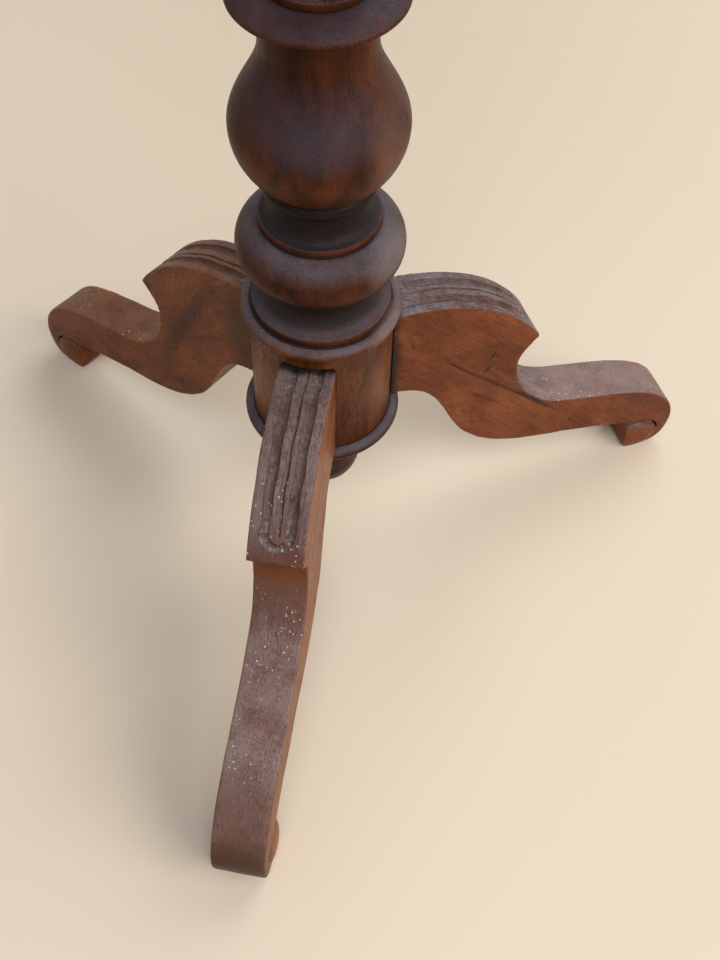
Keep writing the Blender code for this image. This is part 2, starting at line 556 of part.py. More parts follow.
def leg_outline():
    """Stations round the leg as (point, heading in, heading out), from the knee's root clockwise."""
    deg = math.radians
    tip = (KNEE_TIP_REACH, LEG_TOP - KNEE_TIP_DROP)
    shoulder = BASE_RING_RADIUS + SHOULDER_MARGIN
    return [((LEG_ROOT, LEG_TOP), UP, OUT),
            ((LEG_ROOT + KNEE_FLAT, LEG_TOP), OUT, OUT),
            (tip, deg(KNEE_TIP_SLOPE), deg(UNDERCUT_SLOPE)),
            ((KNEE_TIP_REACH - UNDERCUT_DEPTH, LEG_TOP - UNDERCUT_DROP), DOWN, DOWN),
            ((INSTEP_REACH, INSTEP_HEIGHT), deg(INSTEP_SLOPE), deg(INSTEP_SLOPE)),
            (toe(TOE_CROWN_SETBACK, TOE_CROWN_HEIGHT), deg(TOE_CROWN_SLOPE), deg(TOE_CROWN_SLOPE)),
            (toe(0.0, TOE_NOSE_HEIGHT), DOWN, DOWN),
            (toe(SOLE_SETBACK, 0.0), IN, IN),
            (toe(SOLE_SETBACK + SOLE_LENGTH, 0.0), IN, IN),
            (toe(SCROLL_END_SETBACK, SCROLL_HEEL_HEIGHT), UP, UP),
            (toe(SCROLL_END_SETBACK, SCROLL_END_HEIGHT), UP, UP),
            (toe(SCROLL_TOP_SETBACK, SCROLL_TOP_HEIGHT), OUT, OUT),
            (toe(SLIT_END_SETBACK, SLIT_END_HEIGHT), DOWN, OUT),
            (toe(SLIT_END_SETBACK - SCROLL_SLIT, SLIT_END_HEIGHT), OUT, UP),
            (toe(SCROLL_TOP_SETBACK, SCROLL_TOP_HEIGHT + SCROLL_SLIT), IN, IN),
            (toe(SLIT_MOUTH_SETBACK, SCROLL_TOP_HEIGHT + SCROLL_SLIT), IN, deg(SLIT_MOUTH_SLOPE)),
            (toe(ARCH_SETBACK, ARCH_HEIGHT), deg(ARCH_SLOPE), deg(ARCH_SLOPE)),
            ((BELLY_REACH, BELLY_HEIGHT), deg(BELLY_SLOPE), deg(BELLY_SLOPE)),
            ((HEEL_REACH, HEEL_HEIGHT), deg(HEEL_SLOPE), deg(HEEL_SLOPE)),
            ((THROAT_REACH, LEG_UNDER - THROAT_DROP), deg(THROAT_SLOPE), deg(THROAT_SLOPE)),
            ((shoulder, LEG_UNDER - SHOULDER_DROP), deg(SHOULDER_SLOPE), deg(SHOULDER_SLOPE)),
            ((LEG_ROOT, LEG_UNDER), deg(UNDERSIDE_SLOPE), UP)]


def outline_points(stations):
    points = []
    for here, there in zip(stations, stations[1:] + stations[:1]):
        (start, _, leave), (end, arrive, _) = here, there
        points += bend(start, leave, end, arrive)[:-1]
    return points


def leg_blank(name):
    """Leg sawn from the board, as a mesh with +X outwards and +Z up."""
    curve = bpy.data.curves.new(name, "CURVE")
    curve.dimensions = "2D"
    curve.fill_mode = "BOTH"
    curve.extrude = LEG_THICKNESS / 2
    points = outline_points(leg_outline())
    spline = curve.splines.new("POLY")
    spline.points.add(len(points) - 1)
    for slot, point in zip(spline.points, points):
        slot.co = (point[0], point[1], 0.0, 1.0)
    spline.use_cyclic_u = True
    mesh = curve_mesh(curve, name)
    mesh.transform(Matrix.Rotation(math.radians(90), 4, "X"))
    mesh.shade_smooth()
    mesh.set_sharp_from_angle(angle=math.radians(ARRIS_ANGLE))
    return mesh


def curve_mesh(curve, name):
    """Closed mesh of a curve object, its caps welded on."""
    holder = bpy.data.objects.new(name + "_curve", curve)
    CUTTERS.objects.link(holder)
    graph = bpy.context.evaluated_depsgraph_get()
    mesh = bpy.data.meshes.new_from_object(holder.evaluated_get(graph))
    bpy.data.objects.remove(holder, do_unlink=True)
    shape = bmesh.new()
    shape.from_mesh(mesh)
    bmesh.ops.remove_doubles(shape, verts=shape.verts, dist=0.000005)
    bmesh.ops.recalc_face_normals(shape, faces=shape.faces)
    shape.to_mesh(mesh)
    shape.free()
    return mesh


def knee_path(start_reach):
    """Knee's top line from the root to the tip, as (distance along it, point, outward normal)."""
    crest, tip = (station[0] for station in leg_outline()[1:3])
    line = [Vector((start_reach, LEG_TOP))] + bend(crest, OUT, tip, math.radians(KNEE_TIP_SLOPE))
    path, travelled = [], 0.0
    for here, there in zip(line, line[1:]):
        along = (there - here).normalized()
        path.append((travelled, here, Vector((-along.y, along.x))))
        travelled += (there - here).length
    path.append((travelled, line[-1], path[-1][2]))
    return path


def on_knee(path, distance, side):
    """Point above the knee at a distance along it and to one side of its middle."""
    for (start, here, normal), (end, there, _) in zip(path, path[1:]):
        if distance <= end:
            break
    spot = here.lerp(there, (distance - start) / (end - start)) + FLUTE_LIFT * normal
    return (spot.x, side, spot.y)


def flute_tool(name):
    """Round gouge cut down one side of the knee, round a bend short of the tip and back."""
    path = knee_path(LEG_ROOT - FLUTE_SPACING)
    half = FLUTE_SPACING / 2
    bend_start = path[-1][0] - FLUTE_END_MARGIN - FLUTE_RADIUS - half
    runs = [bend_start * i / FLUTE_RUN_STEPS for i in range(FLUTE_RUN_STEPS)]
    turns = [math.pi * i / FLUTE_BEND_STEPS for i in range(FLUTE_BEND_STEPS + 1)]
    route = [(run, half) for run in runs]
    route += [(bend_start + half * math.sin(turn), half * math.cos(turn)) for turn in turns]
    route += [(run, -half) for run in reversed(runs)]
    curve = bpy.data.curves.new(name, "CURVE")
    curve.dimensions = "3D"
    curve.bevel_depth = FLUTE_RADIUS
    curve.bevel_resolution = 2
    curve.use_fill_caps = True
    spline = curve.splines.new("POLY")
    spline.points.add(len(route) - 1)
    for slot, (distance, side) in zip(spline.points, route):
        slot.co = (*on_knee(path, distance, side), 1.0)
    return curve_mesh(curve, name)


for leg_name, degrees in LEG_AZIMUTHS.items():
    turn = math.radians(degrees)
    leg = place(leg_blank(leg_name), leg_name, LEG_WOOD)
    leg.rotation_euler.z = turn
    tongue = dovetail("tongue_" + leg_name, turn, TONGUE_INNER, LEG_ROOT + TONGUE_DEPTH, HUB_FLAT,
                      TONGUE_WIDTH, TONGUE_NECK_WIDTH, LEG_UNDER + TONGUE_FOOT, TONGUE_TOP)
    combine(leg, tongue, "UNION")
    gouge = cutter(flute_tool("gouge_" + leg_name), "gouge_" + leg_name)
    gouge.rotation_euler.z = turn
    combine(leg, gouge)
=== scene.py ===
import math

import bpy
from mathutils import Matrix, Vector


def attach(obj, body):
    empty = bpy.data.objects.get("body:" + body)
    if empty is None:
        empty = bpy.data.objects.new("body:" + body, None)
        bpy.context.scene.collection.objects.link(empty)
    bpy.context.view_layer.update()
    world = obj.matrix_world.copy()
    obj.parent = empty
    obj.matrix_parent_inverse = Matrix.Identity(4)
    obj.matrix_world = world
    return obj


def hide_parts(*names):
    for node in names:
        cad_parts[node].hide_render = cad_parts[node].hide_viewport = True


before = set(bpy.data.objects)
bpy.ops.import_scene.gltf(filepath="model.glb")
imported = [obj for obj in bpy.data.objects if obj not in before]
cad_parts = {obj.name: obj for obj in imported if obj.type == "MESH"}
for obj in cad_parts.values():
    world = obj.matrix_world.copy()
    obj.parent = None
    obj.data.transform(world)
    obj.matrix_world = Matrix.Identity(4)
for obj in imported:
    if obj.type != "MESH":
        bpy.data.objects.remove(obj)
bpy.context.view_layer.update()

bpy.ops.object.select_all(action="DESELECT")


# ---------------------------------------------------------------------------------------------
# Legs. Three boards of hardwood an inch thick, band-sawn to an S with a pointed knee and a toe that
# curls back under itself, the curl opened with a fine saw. A gouge has cut a U-shaped flute and a
# fine V-line down each knee. Each leg slides up into the hub on a dovetail and is stained and waxed.
LEG_THICKNESS = 0.0280
LEG_ROOT = 0.03325
LEG_TOP = 0.1790
LEG_UNDER = 0.1210
KNEE_CREST = (0.03745, LEG_TOP)
KNEE_TIP = (0.1196, 0.1350)
KNEE_TIP_SLOPE = -58.9
LEG_OUTLINE = [  # reach, height, heading in, heading out
    (LEG_ROOT, LEG_TOP, 90, 0), (*KNEE_CREST, 0, 0), (*KNEE_TIP, KNEE_TIP_SLOPE, -128.8),
    (0.1089, 0.1159, -90, -90), (0.1417, 0.0714, -17, -17), (0.1969, 0.0563, -21, -21),
    (0.2269, 0.0201, -90, -90), (0.2128, 0.0, 180, 180), (0.2008, 0.0, 180, 180),
    (0.1960, 0.0070, 90, 90), (0.1960, 0.0165, 90, 90), (0.2065, 0.0224, 0, 90),
    (0.2065, 0.0242, 90, 180), (0.1965, 0.0242, 180, 152), (0.1551, 0.0371, 168.6, 168.6),
    (0.1071, 0.0484, 157.4, 157.4), (0.0793, 0.0694, 126, 126), (0.0552, 0.1118, 134, 134),
    (0.0469, 0.1176, 157, 157), (LEG_ROOT, LEG_UNDER, 166, 90)]
SLIT_START = (0.2052, 0.0233)
SLIT_TURN = (0.2065, 0.0233)
SLIT_END = (0.2178, 0.0125)
SLIT_HALF_WIDTH = 0.00045
SCROLL_EYE = (0.2068, 0.0112)
EYE_RINGS = (0.0100, 0.0092, 0.0082, 0.0068)
EYE_SWELL = 1.028
FLUTE_RADIUS = 0.0031
FLUTE_LIFT = 0.0018
FLUTE_HALF_SPACING = 0.00625
FLUTE_END_MARGIN = 0.0053
GROOVE_RADIUS = 0.00085
GROOVE_LIFT = 0.0002
GROOVE_SIDE = 0.0008
DEPTH_WAVER, DEPTH_RATE = 0.00012, 0.8
SIDE_WAVER, SIDE_RATE = 0.00022, 0.55
CARVING_OVERRUN = 0.004
SAW_GRID = 0.00070
TOE_REACH = 0.188
EASED_FROM_REACH = 0.05
EASED_TOE_SIDE = 0.0118
EASED_LEG_SIDE = 0.0130
WELD = 0.000002


def curve_between(start, leave, end, arrive, step=0.0012):
    """Points of a smooth stretch between two headings in degrees, its end left out."""
    start, end = Vector(start), Vector(end)
    leave, arrive = math.radians(leave), math.radians(arrive)
    across = end - start
    heading = math.atan2(across.y, across.x)
    swing_out = math.remainder(heading - leave, math.tau)
    swing_in = math.remainder(arrive - heading, math.tau)
    half_turn = abs(swing_out + swing_in) / 2
    pull = across.length / 3
    if half_turn > 1e-4:
        pull = across.length * (2 / 3) * math.tan(half_turn / 2) / math.sin(half_turn)
    first = start + pull * Vector((math.cos(leave), math.sin(leave)))
    second = end - pull * Vector((math.cos(arrive), math.sin(arrive)))
    straight = abs(swing_out) + abs(swing_in) < 1e-3
    count = 1 if straight else max(3, round(across.length / step))
    points = []
    for i in range(count):
        t = i / count
        points.append((1 - t) ** 3 * start + 3 * (1 - t) ** 2 * t * first
                      + 3 * (1 - t) * t * t * second + t ** 3 * end)
    return points


def trace(name, points):
    """Wire drawn from point to point, from a small plane merged to one corner. Left in edit mode."""
    bpy.ops.object.select_all(action="DESELECT")
    bpy.ops.mesh.primitive_plane_add(size=0.001, location=points[0])
    piece = bpy.context.object
    piece.name = piece.data.name = name
    bpy.ops.object.transform_apply(location=True, rotation=False, scale=False)
    bpy.ops.object.mode_set(mode="EDIT")
    bpy.ops.mesh.merge(type="CENTER")
    for here, there in zip(points, points[1:]):
        bpy.ops.mesh.extrude_region_move(TRANSFORM_OT_translate={"value": Vector(there) - Vector(here)})
    return piece


def close_shape():
    """Merges doubles and turns all faces outwards, then leaves edit mode."""
    bpy.ops.mesh.select_all(action="SELECT")
    bpy.ops.mesh.remove_doubles(threshold=WELD)
    bpy.ops.mesh.normals_make_consistent(inside=False)
    bpy.ops.object.mode_set(mode="OBJECT")


def sawn_board(name, outline, thickness):
    """Board of one thickness sawn round an outline of reaches and heights."""
    points = [(point[0], -thickness / 2, point[1]) for point in outline]
    board = trace(name, points + points[:1])
    bpy.ops.mesh.select_all(action="SELECT")
    bpy.ops.mesh.remove_doubles(threshold=WELD)
    bpy.ops.mesh.edge_face_add()
    bpy.ops.mesh.extrude_region_move(TRANSFORM_OT_translate={"value": (0.0, thickness, 0.0)})
    close_shape()
    return board


def select_where(piece, test):
    """Selects the vertices that pass test, in edit mode."""
    bpy.ops.mesh.select_mode(type="VERT")
    bpy.ops.mesh.select_all(action="DESELECT")
    bpy.ops.object.mode_set(mode="OBJECT")
    for vertex in piece.data.vertices:
        vertex.select = test(vertex.co)
    bpy.ops.object.mode_set(mode="EDIT")


def pick(piece):
    bpy.ops.object.select_all(action="DESELECT")
    piece.select_set(True)
    bpy.context.view_layer.objects.active = piece


def apply_modifier(piece, kind, **settings):
    pick(piece)
    bpy.ops.object.modifier_add(type=kind)
    modifier = piece.modifiers[-1]
    for key, value in settings.items():
        setattr(modifier, key, value)
    bpy.ops.object.modifier_apply(modifier=modifier.name)


def cut_away(piece, tool, finish=None):
    """Cuts tool's shape out of piece, the cut left in its own finish, and throws the tool away."""
    if finish:
        tool.data.materials.append(finish)
    apply_modifier(piece, "BOOLEAN", operation="DIFFERENCE", solver="EXACT", object=tool,
                   material_mode="TRANSFER")
    bpy.data.objects.remove(tool, do_unlink=True)


def knee_cutter(sides, radius, aside, lift):
    """Section of a carving tool, square to the knee at the flute's bend. Left in edit mode."""
    bpy.ops.object.select_all(action="DESELECT")
    start = bend_point + (lift - FLUTE_LIFT) * bend_normal
    bpy.ops.mesh.primitive_circle_add(vertices=sides, radius=radius, location=(start.x, aside, start.z),
                                      rotation=(0.0, math.pi / 2 + bend_slope, 0.0))
    cutter = bpy.context.object
    bpy.ops.object.transform_apply(location=True, rotation=True, scale=False)
    bpy.ops.object.mode_set(mode="EDIT")
    bpy.ops.mesh.select_all(action="SELECT")
    return cutter


def draw_back(path):
    """Draws the selected end loops of a carving tool back along the knee, kept square to it."""
    for (here, slope), (there, next_slope) in zip(path, path[1:]):
        bpy.ops.mesh.extrude_region_move(TRANSFORM_OT_translate={"value": there - here})
        bpy.ops.transform.rotate(value=slope - next_slope, orient_axis="Y", center_override=there)
    bpy.ops.mesh.select_all(action="SELECT")
    bpy.ops.mesh.fill_holes(sides=0)
    close_shape()


# The gouge's path: back from the flute's bend to the root, with the waver of a tool pushed by hand
knee_line = curve_between(KNEE_CREST, 0, KNEE_TIP, KNEE_TIP_SLOPE, 0.002) + [Vector(KNEE_TIP)]
knee_line = [Vector((LEG_ROOT - CARVING_OVERRUN, LEG_TOP))] + knee_line
carving_path = []
run_left = -FLUTE_END_MARGIN - FLUTE_RADIUS - FLUTE_HALF_SPACING
for there, here in zip(reversed(knee_line[:-1]), reversed(knee_line[1:])):
    along = (here - there).normalized()
    run_left += (here - there).length
    if run_left > 0:
        stroke = len(carving_path)
        depth = FLUTE_LIFT + DEPTH_WAVER * math.sin(DEPTH_RATE * stroke)
        lifted = there + depth * Vector((-along.y, along.x))
        if not carving_path:
            lifted += run_left * along
        carving_path.append((Vector((lifted.x, SIDE_WAVER * math.sin(SIDE_RATE * stroke), lifted.y)),
                             -math.atan2(along.y, along.x)))
bend_point, bend_slope = carving_path[0]
bend_normal = Vector((math.sin(bend_slope), 0.0, math.cos(bend_slope)))
bend_along = Vector((math.cos(bend_slope), 0.0, -math.sin(bend_slope)))

leg_points = []
for (r, z, _, leave), (r2, z2, arrive, _) in zip(LEG_OUTLINE, LEG_OUTLINE[1:] + LEG_OUTLINE[:1]):
    leg_points += curve_between((r, z), leave, (r2, z2), arrive)
leg = sawn_board("leg_blank", leg_points, LEG_THICKNESS)
sawn = bpy.data.materials.new("sawn")
gouged = bpy.data.materials.new("gouged")
leg.data.materials.append(sawn)

# Arrises eased with a scraper, most at the toe, and the scroll's eye left a little proud
apply_modifier(leg, "REMESH", mode="VOXEL", voxel_size=SAW_GRID, adaptivity=0.0)
apply_modifier(leg, "SMOOTH", factor=0.5, iterations=4)
bpy.ops.object.mode_set(mode="EDIT")
for radius in EYE_RINGS:
    select_where(leg, lambda co: (Vector((co.x, co.z)) - Vector(SCROLL_EYE)).length < radius)
    bpy.ops.transform.resize(value=(1.0, EYE_SWELL, 1.0), center_override=(0.0, 0.0, 0.0))
select_where(leg, lambda co: co.x > TOE_REACH and abs(co.y) > EASED_TOE_SIDE)
bpy.ops.mesh.vertices_smooth(factor=0.5, repeat=14)
select_where(leg, lambda co: EASED_FROM_REACH < co.x < TOE_REACH and abs(co.y) > EASED_LEG_SIDE)
bpy.ops.mesh.vertices_smooth(factor=0.5, repeat=3)
bpy.ops.object.mode_set(mode="OBJECT")

# The curl's saw slit, the U-shaped flute and the fine V-line
slit_points = [Vector(SLIT_START) - Vector((0.0, SLIT_HALF_WIDTH))]
slit_points += curve_between((SLIT_TURN[0], SLIT_TURN[1] - SLIT_HALF_WIDTH), 0,
                             (SLIT_END[0] - SLIT_HALF_WIDTH, SLIT_END[1]), -90)
slit_points += [Vector((SLIT_END[0] - SLIT_HALF_WIDTH, SLIT_END[1]))]
slit_points += curve_between((SLIT_END[0] + SLIT_HALF_WIDTH, SLIT_END[1]), 90,
                             (SLIT_TURN[0], SLIT_TURN[1] + SLIT_HALF_WIDTH), 180)
slit_points += [Vector(SLIT_START) + Vector((0.0, SLIT_HALF_WIDTH))]
cut_away(leg, sawn_board("scroll_saw", slit_points, LEG_THICKNESS * 1.5), gouged)

gouge = knee_cutter(24, FLUTE_RADIUS, FLUTE_HALF_SPACING, FLUTE_LIFT)
bpy.ops.mesh.spin(steps=20, angle=math.pi, center=bend_point, axis=bend_normal)
select_where(gouge, lambda co: (co - bend_point).dot(bend_along) < 0.00002)
draw_back(carving_path)
cut_away(leg, gouge, gouged)
veiner = knee_cutter(4, GROOVE_RADIUS, GROOVE_SIDE, GROOVE_LIFT)
draw_back([(centre + (GROOVE_LIFT - FLUTE_LIFT) * Vector((math.sin(slope), 0.0, math.cos(slope))), slope)
           for centre, slope in carving_path])
cut_away(leg, veiner, gouged)

# Faces a little uneven, as hand work leaves them
uneven = bpy.data.textures.new("hand_worked", "CLOUDS")
uneven.noise_scale = 0.020
uneven.noise_depth = 1
apply_modifier(leg, "DISPLACE", texture=uneven, texture_coords="LOCAL", strength=0.0006, mid_level=0.76)
pick(leg)
bpy.ops.object.shade_smooth_by_angle(angle=math.radians(42))

# Dark tone of the dirt in the pores, also laid as painted shade in hollows, recesses and at the leg roots
DIRT_AND_PAINTED_SHADE = (0.010, 0.0075, 0.0070, 1.0)
LOOSE_DUST = (0.33, 0.31, 0.285, 1.0)
RUBBED_RED = (0.085, 0.019, 0.0090, 1.0)
PALE_SPECK = (0.66, 0.50, 0.35, 1.0)
KNEE_STAIN = (0.064, 0.0185, 0.0120, 1.0)
# Knee and foot tones of the film, which is part dust and part painted sheen
GREY_FILM_AND_SHEEN = ((0.205, 0.200, 0.215, 1.0), (0.255, 0.203, 0.190, 1.0))
KNEE_TO_FOOT = (0.105, 0.145)
STAIN_FADE = (0.108, 0.140)
RED_FADE = 0.0006
SPECK_FADE_IN, SPECK_FADE_OUT = 0.012, 0.020


def add_node(tree, kind, inputs=(), **settings):
    """New shader node; an input given as a socket is linked, any other is set."""
    made = tree.nodes.new(kind)
    for key, value in settings.items():
        setattr(made, key, value)
    for key, value in dict(inputs).items():
        if isinstance(value, bpy.types.NodeSocket):
            tree.links.new(value, made.inputs[key])
        else:
            made.inputs[key].default_value = value
    return made


def mixed(tree, factor, first, second, blend="MIX"):
    made = add_node(tree, "ShaderNodeMix", {0: factor, 6: first, 7: second}, data_type="RGBA", blend_type=blend)
    return made.outputs[2]


def ramp(tree, value, low, high, bottom=0.0, top=1.0):
    """Value carried from low..high to bottom..top, held beyond them."""
    made = add_node(tree, "ShaderNodeMapRange", {"Value": value, "From Min": low, "From Max": high,
                                                 "To Min": bottom, "To Max": top})
    return made.outputs["Result"]


def joined(tree, first, second, operation="MULTIPLY"):
    return add_node(tree, "ShaderNodeMath", {0: first, 1: second}, operation=operation).outputs[0]


def placed(tree, vector, location, rotation, scale):
    """Coordinates from a place, along turned axes, in units of scale."""
    return add_node(tree, "ShaderNodeMapping", {"Vector": vector, "Location": location, "Rotation": rotation,
                                                "Scale": scale}, vector_type="TEXTURE").outputs[0]


def vector_maths(tree, operation, *inputs):
    return add_node(tree, "ShaderNodeVectorMath", enumerate(inputs), operation=operation).outputs


def waxed_wood(name, turn, pith, seed, tones, film_and_sheen=(0.4, 0.4), film_and_sheen_tones=GREY_FILM_AND_SHEEN, thinnest=(0.05, 0.50),
               film_and_sheen_facing=(0.10, 0.85), stain=None, specks=None, figure=0.35, wear=0.4, gloss=0.14,
               pore=(0.0042, 0.00042, 0.35), ring_turn=None, ring_size=(0.110, 0.020, 0.020), ring_bend=3.6,
               painted_shade_within=None, dusty_within=None, dusty_at=None, painted_deep_shade_within=None, red_bands=(), marks=()):
    """Stained and waxed hardwood, its grain along X after turn and its rings about a line through pith.

    film, film_and_sheen_tones, thinnest and stain are pairs, for the knee and for the foot: how much of a dull
    coat, part dust and part painted sheen, lies on the wood, its tone, what is left of it in its gaps, and how
    deep the stain is. The coat comes on as a face turns up through film_and_sheen_facing. specks are a strength and
    the reaches they lie between, and pore is a pore's length, width and darkness. Painted shade lies within
    the reaches painted_shade_within and painted_deep_shade_within, and loose dust within dusty_within and round
    dusty_at, each fading over its pair.
    red_bands are the heights of rubbed red lines. A mark is a place, turn, half sizes, tone and strength."""
    dark, middle, pale = tones
    material = bpy.data.materials.new(name)
    material.use_nodes = True
    tree = material.node_tree
    shader = tree.nodes["Principled BSDF"]
    place = add_node(tree, "ShaderNodeTexCoord").outputs["Object"]
    surface = add_node(tree, "ShaderNodeNewGeometry")
    facing = add_node(tree, "ShaderNodeSeparateXYZ", {0: surface.outputs["Normal"]}).outputs["Z"]
    bent = surface.outputs["Pointiness"]

    def laid(length, width, shift):
        start = (pith[0] + seed + shift, pith[1] + seed * 0.7, pith[2] + shift)
        return placed(tree, place, start, turn, (length, width, width))

    def noise(vector, detail=3.0, rough=0.55, bend=0.0, scale=1.0):
        return add_node(tree, "ShaderNodeTexNoise", {"Vector": vector, "Scale": scale, "Detail": detail,
                                                     "Roughness": rough, "Distortion": bend}).outputs["Fac"]

    # Grain: streaks, blotches, growth rings, fibres and open pores
    streaks = noise(laid(0.055, 0.0105, 0.0), 6.0, 0.66, 0.9)
    fibres = noise(laid(0.022, 0.0009, 0.3), 3.0, 0.6)
    pore_length, pore_width, pore_dark = pore
    pores = ramp(tree, noise(laid(pore_length, pore_width, 0.7), 1.0, 0.5), 0.560, 0.660)
    pores = joined(tree, pores, ramp(tree, noise(laid(0.030, 0.012, 1.7), 2.0), 0.38, 0.60, 0.35, 1.0))
    blotches = noise(laid(0.040, 0.024, 1.1), 3.0, 0.55, 0.5)
    growth = add_node(tree, "ShaderNodeTexWave", {
        "Vector": placed(tree, place, pith, ring_turn or turn, ring_size), "Scale": 1.0,
        "Distortion": ring_bend, "Detail": 2.0, "Detail Scale": 1.2, "Phase Offset": seed * 9.0},
        wave_type="RINGS", rings_direction="X", wave_profile="SAW").outputs["Fac"]
    colour = mixed(tree, ramp(tree, streaks, 0.36, 0.60), dark, middle)
    colour = mixed(tree, ramp(tree, blotches, 0.44, 0.70, 0.0, 0.85), colour, pale)
    colour = mixed(tree, joined(tree, ramp(tree, growth, 0.50, 0.98), figure), colour, dark)
    tint = ramp(tree, fibres, 0.30, 0.70, 0.81, 1.18)
    tint = add_node(tree, "ShaderNodeCombineColor", {0: tint, 1: tint, 2: tint}).outputs[0]
    colour = mixed(tree, 1.0, colour, tint, "MULTIPLY")

    # Stain, pores, rubbed arrises and painted shade in the hollows and recesses
    parts = add_node(tree, "ShaderNodeSeparateXYZ", {0: place}).outputs
    level = add_node(tree, "ShaderNodeCombineXYZ", {0: parts["X"], 1: parts["Y"]}).outputs[0]
    from_axis = vector_maths(tree, "LENGTH", level)["Value"]
    if stain:
        stained = joined(tree, ramp(tree, facing, 0.05, 0.45), ramp(tree, from_axis, *STAIN_FADE, *stain))
        colour = mixed(tree, stained, colour, KNEE_STAIN)
    colour = mixed(tree, joined(tree, pores, pore_dark), colour, DIRT_AND_PAINTED_SHADE)
    patch = noise(laid(0.030, 0.018, 2.3), 4.0, 0.62)
    rubbed = joined(tree, ramp(tree, bent, 0.515, 0.565), ramp(tree, patch, 0.42, 0.62, 0.10, 1.0))
    bare = (min(pale[0] * 1.9, 1.0), min(pale[1] * 2.1, 1.0), min(pale[2] * 2.2, 1.0), 1.0)
    colour = mixed(tree, joined(tree, rubbed, wear), colour, bare)
    # Painted shade: concave places are darkened, as shade falls in them
    painted_shade_in_hollows = ramp(tree, bent, 0.490, 0.440)
    colour = mixed(tree, joined(tree, painted_shade_in_hollows, 0.85), colour, DIRT_AND_PAINTED_SHADE)
    # Painted shade: faces nearer the axis than the given reaches are darkened
    if painted_shade_within:
        colour = mixed(tree, ramp(tree, from_axis, painted_shade_within[1], painted_shade_within[0], 0.0, 0.92), colour, DIRT_AND_PAINTED_SHADE)
    for low, high in red_bands:
        inside = joined(tree, ramp(tree, parts["Z"], low, low + RED_FADE),
                        ramp(tree, parts["Z"], high, high - RED_FADE))
        inside = joined(tree, inside, ramp(tree, patch, 0.35, 0.55, 0.35, 0.95))
        colour = mixed(tree, inside, colour, RUBBED_RED)

    # Dull film, part dust and part painted sheen on upward faces, cloudy and brushed, wiped along the grain on the
    # knees
    clouds = noise(placed(tree, place, (seed, seed, 0.0), (0.0, 0.0, 0.0), (0.016, 0.016, 0.016)), 6.0, 0.72)
    rough = noise(laid(0.0055, 0.00095, 2.9), 2.0, 0.6)
    brushed = joined(tree, clouds, ramp(tree, rough, 0.30, 0.70, -0.09, 0.09), "ADD")
    if stain:
        wiped = noise(laid(0.034, 0.0015, 3.3), 2.0, 0.5)
        brushed = joined(tree, joined(tree, brushed, ramp(tree, from_axis, *KNEE_TO_FOOT, 0.60, 1.0)),
                         joined(tree, wiped, ramp(tree, from_axis, *KNEE_TO_FOOT, 0.40, 0.0)), "ADD")
    # Film and painted sheen come on as faces turn up
    film_and_sheen_cover = joined(tree, ramp(tree, facing, *film_and_sheen_facing),
                   ramp(tree, brushed, 0.38, 0.62, ramp(tree, from_axis, *KNEE_TO_FOOT, *thinnest), 1.0))
    film_and_sheen_cover = joined(tree, film_and_sheen_cover, ramp(tree, from_axis, *KNEE_TO_FOOT, *film_and_sheen))
    # Less film and painted sheen inside those painted-shade reaches
    if painted_shade_within:
        film_and_sheen_cover = joined(tree, film_and_sheen_cover, ramp(tree, from_axis, *painted_shade_within, 0.15, 1.0))
    film_and_sheen_cover = joined(tree, film_and_sheen_cover, ramp(tree, pores, 0.0, 1.0, 1.0, 1.0 - 1.5 * pore_dark))
    film_and_sheen_tone = mixed(tree, ramp(tree, from_axis, *KNEE_TO_FOOT), *film_and_sheen_tones)
    colour = mixed(tree, film_and_sheen_cover, colour, film_and_sheen_tone)

    # Marks with a wandering edge, some of them painted highlights and painted shade, then dust, painted shade at
    # the leg roots and pale specks
    wander = add_node(tree, "ShaderNodeTexNoise", {"Vector": place, "Scale": 190.0, "Detail": 3.0}).outputs["Color"]
    wander = vector_maths(tree, "SUBTRACT", wander, (0.5, 0.5, 0.5))[0]
    wander = vector_maths(tree, "MULTIPLY_ADD", wander, (0.0016, 0.0016, 0.0016), place)[0]
    for centre, angles, half, tone, strength in marks:
        gap = vector_maths(tree, "LENGTH", placed(tree, wander, centre, angles, half))["Value"]
        colour = mixed(tree, ramp(tree, gap, 1.0, 0.35, 0.0, strength), colour, tone)
    if dusty_within:
        settled = ramp(tree, from_axis, dusty_within[1], dusty_within[0])
        if dusty_at:
            near = vector_maths(tree, "DISTANCE", place, dusty_at)["Value"]
            settled = joined(tree, settled, ramp(tree, near, 0.015, 0.007), "MAXIMUM")
        settled = joined(tree, settled, ramp(tree, facing, 0.0, 0.5))
        settled = joined(tree, settled, ramp(tree, noise(place, 4.0, 0.75, 0.0, 520.0), 0.46, 0.66, 0.0, 0.60))
        colour = mixed(tree, settled, colour, LOOSE_DUST)
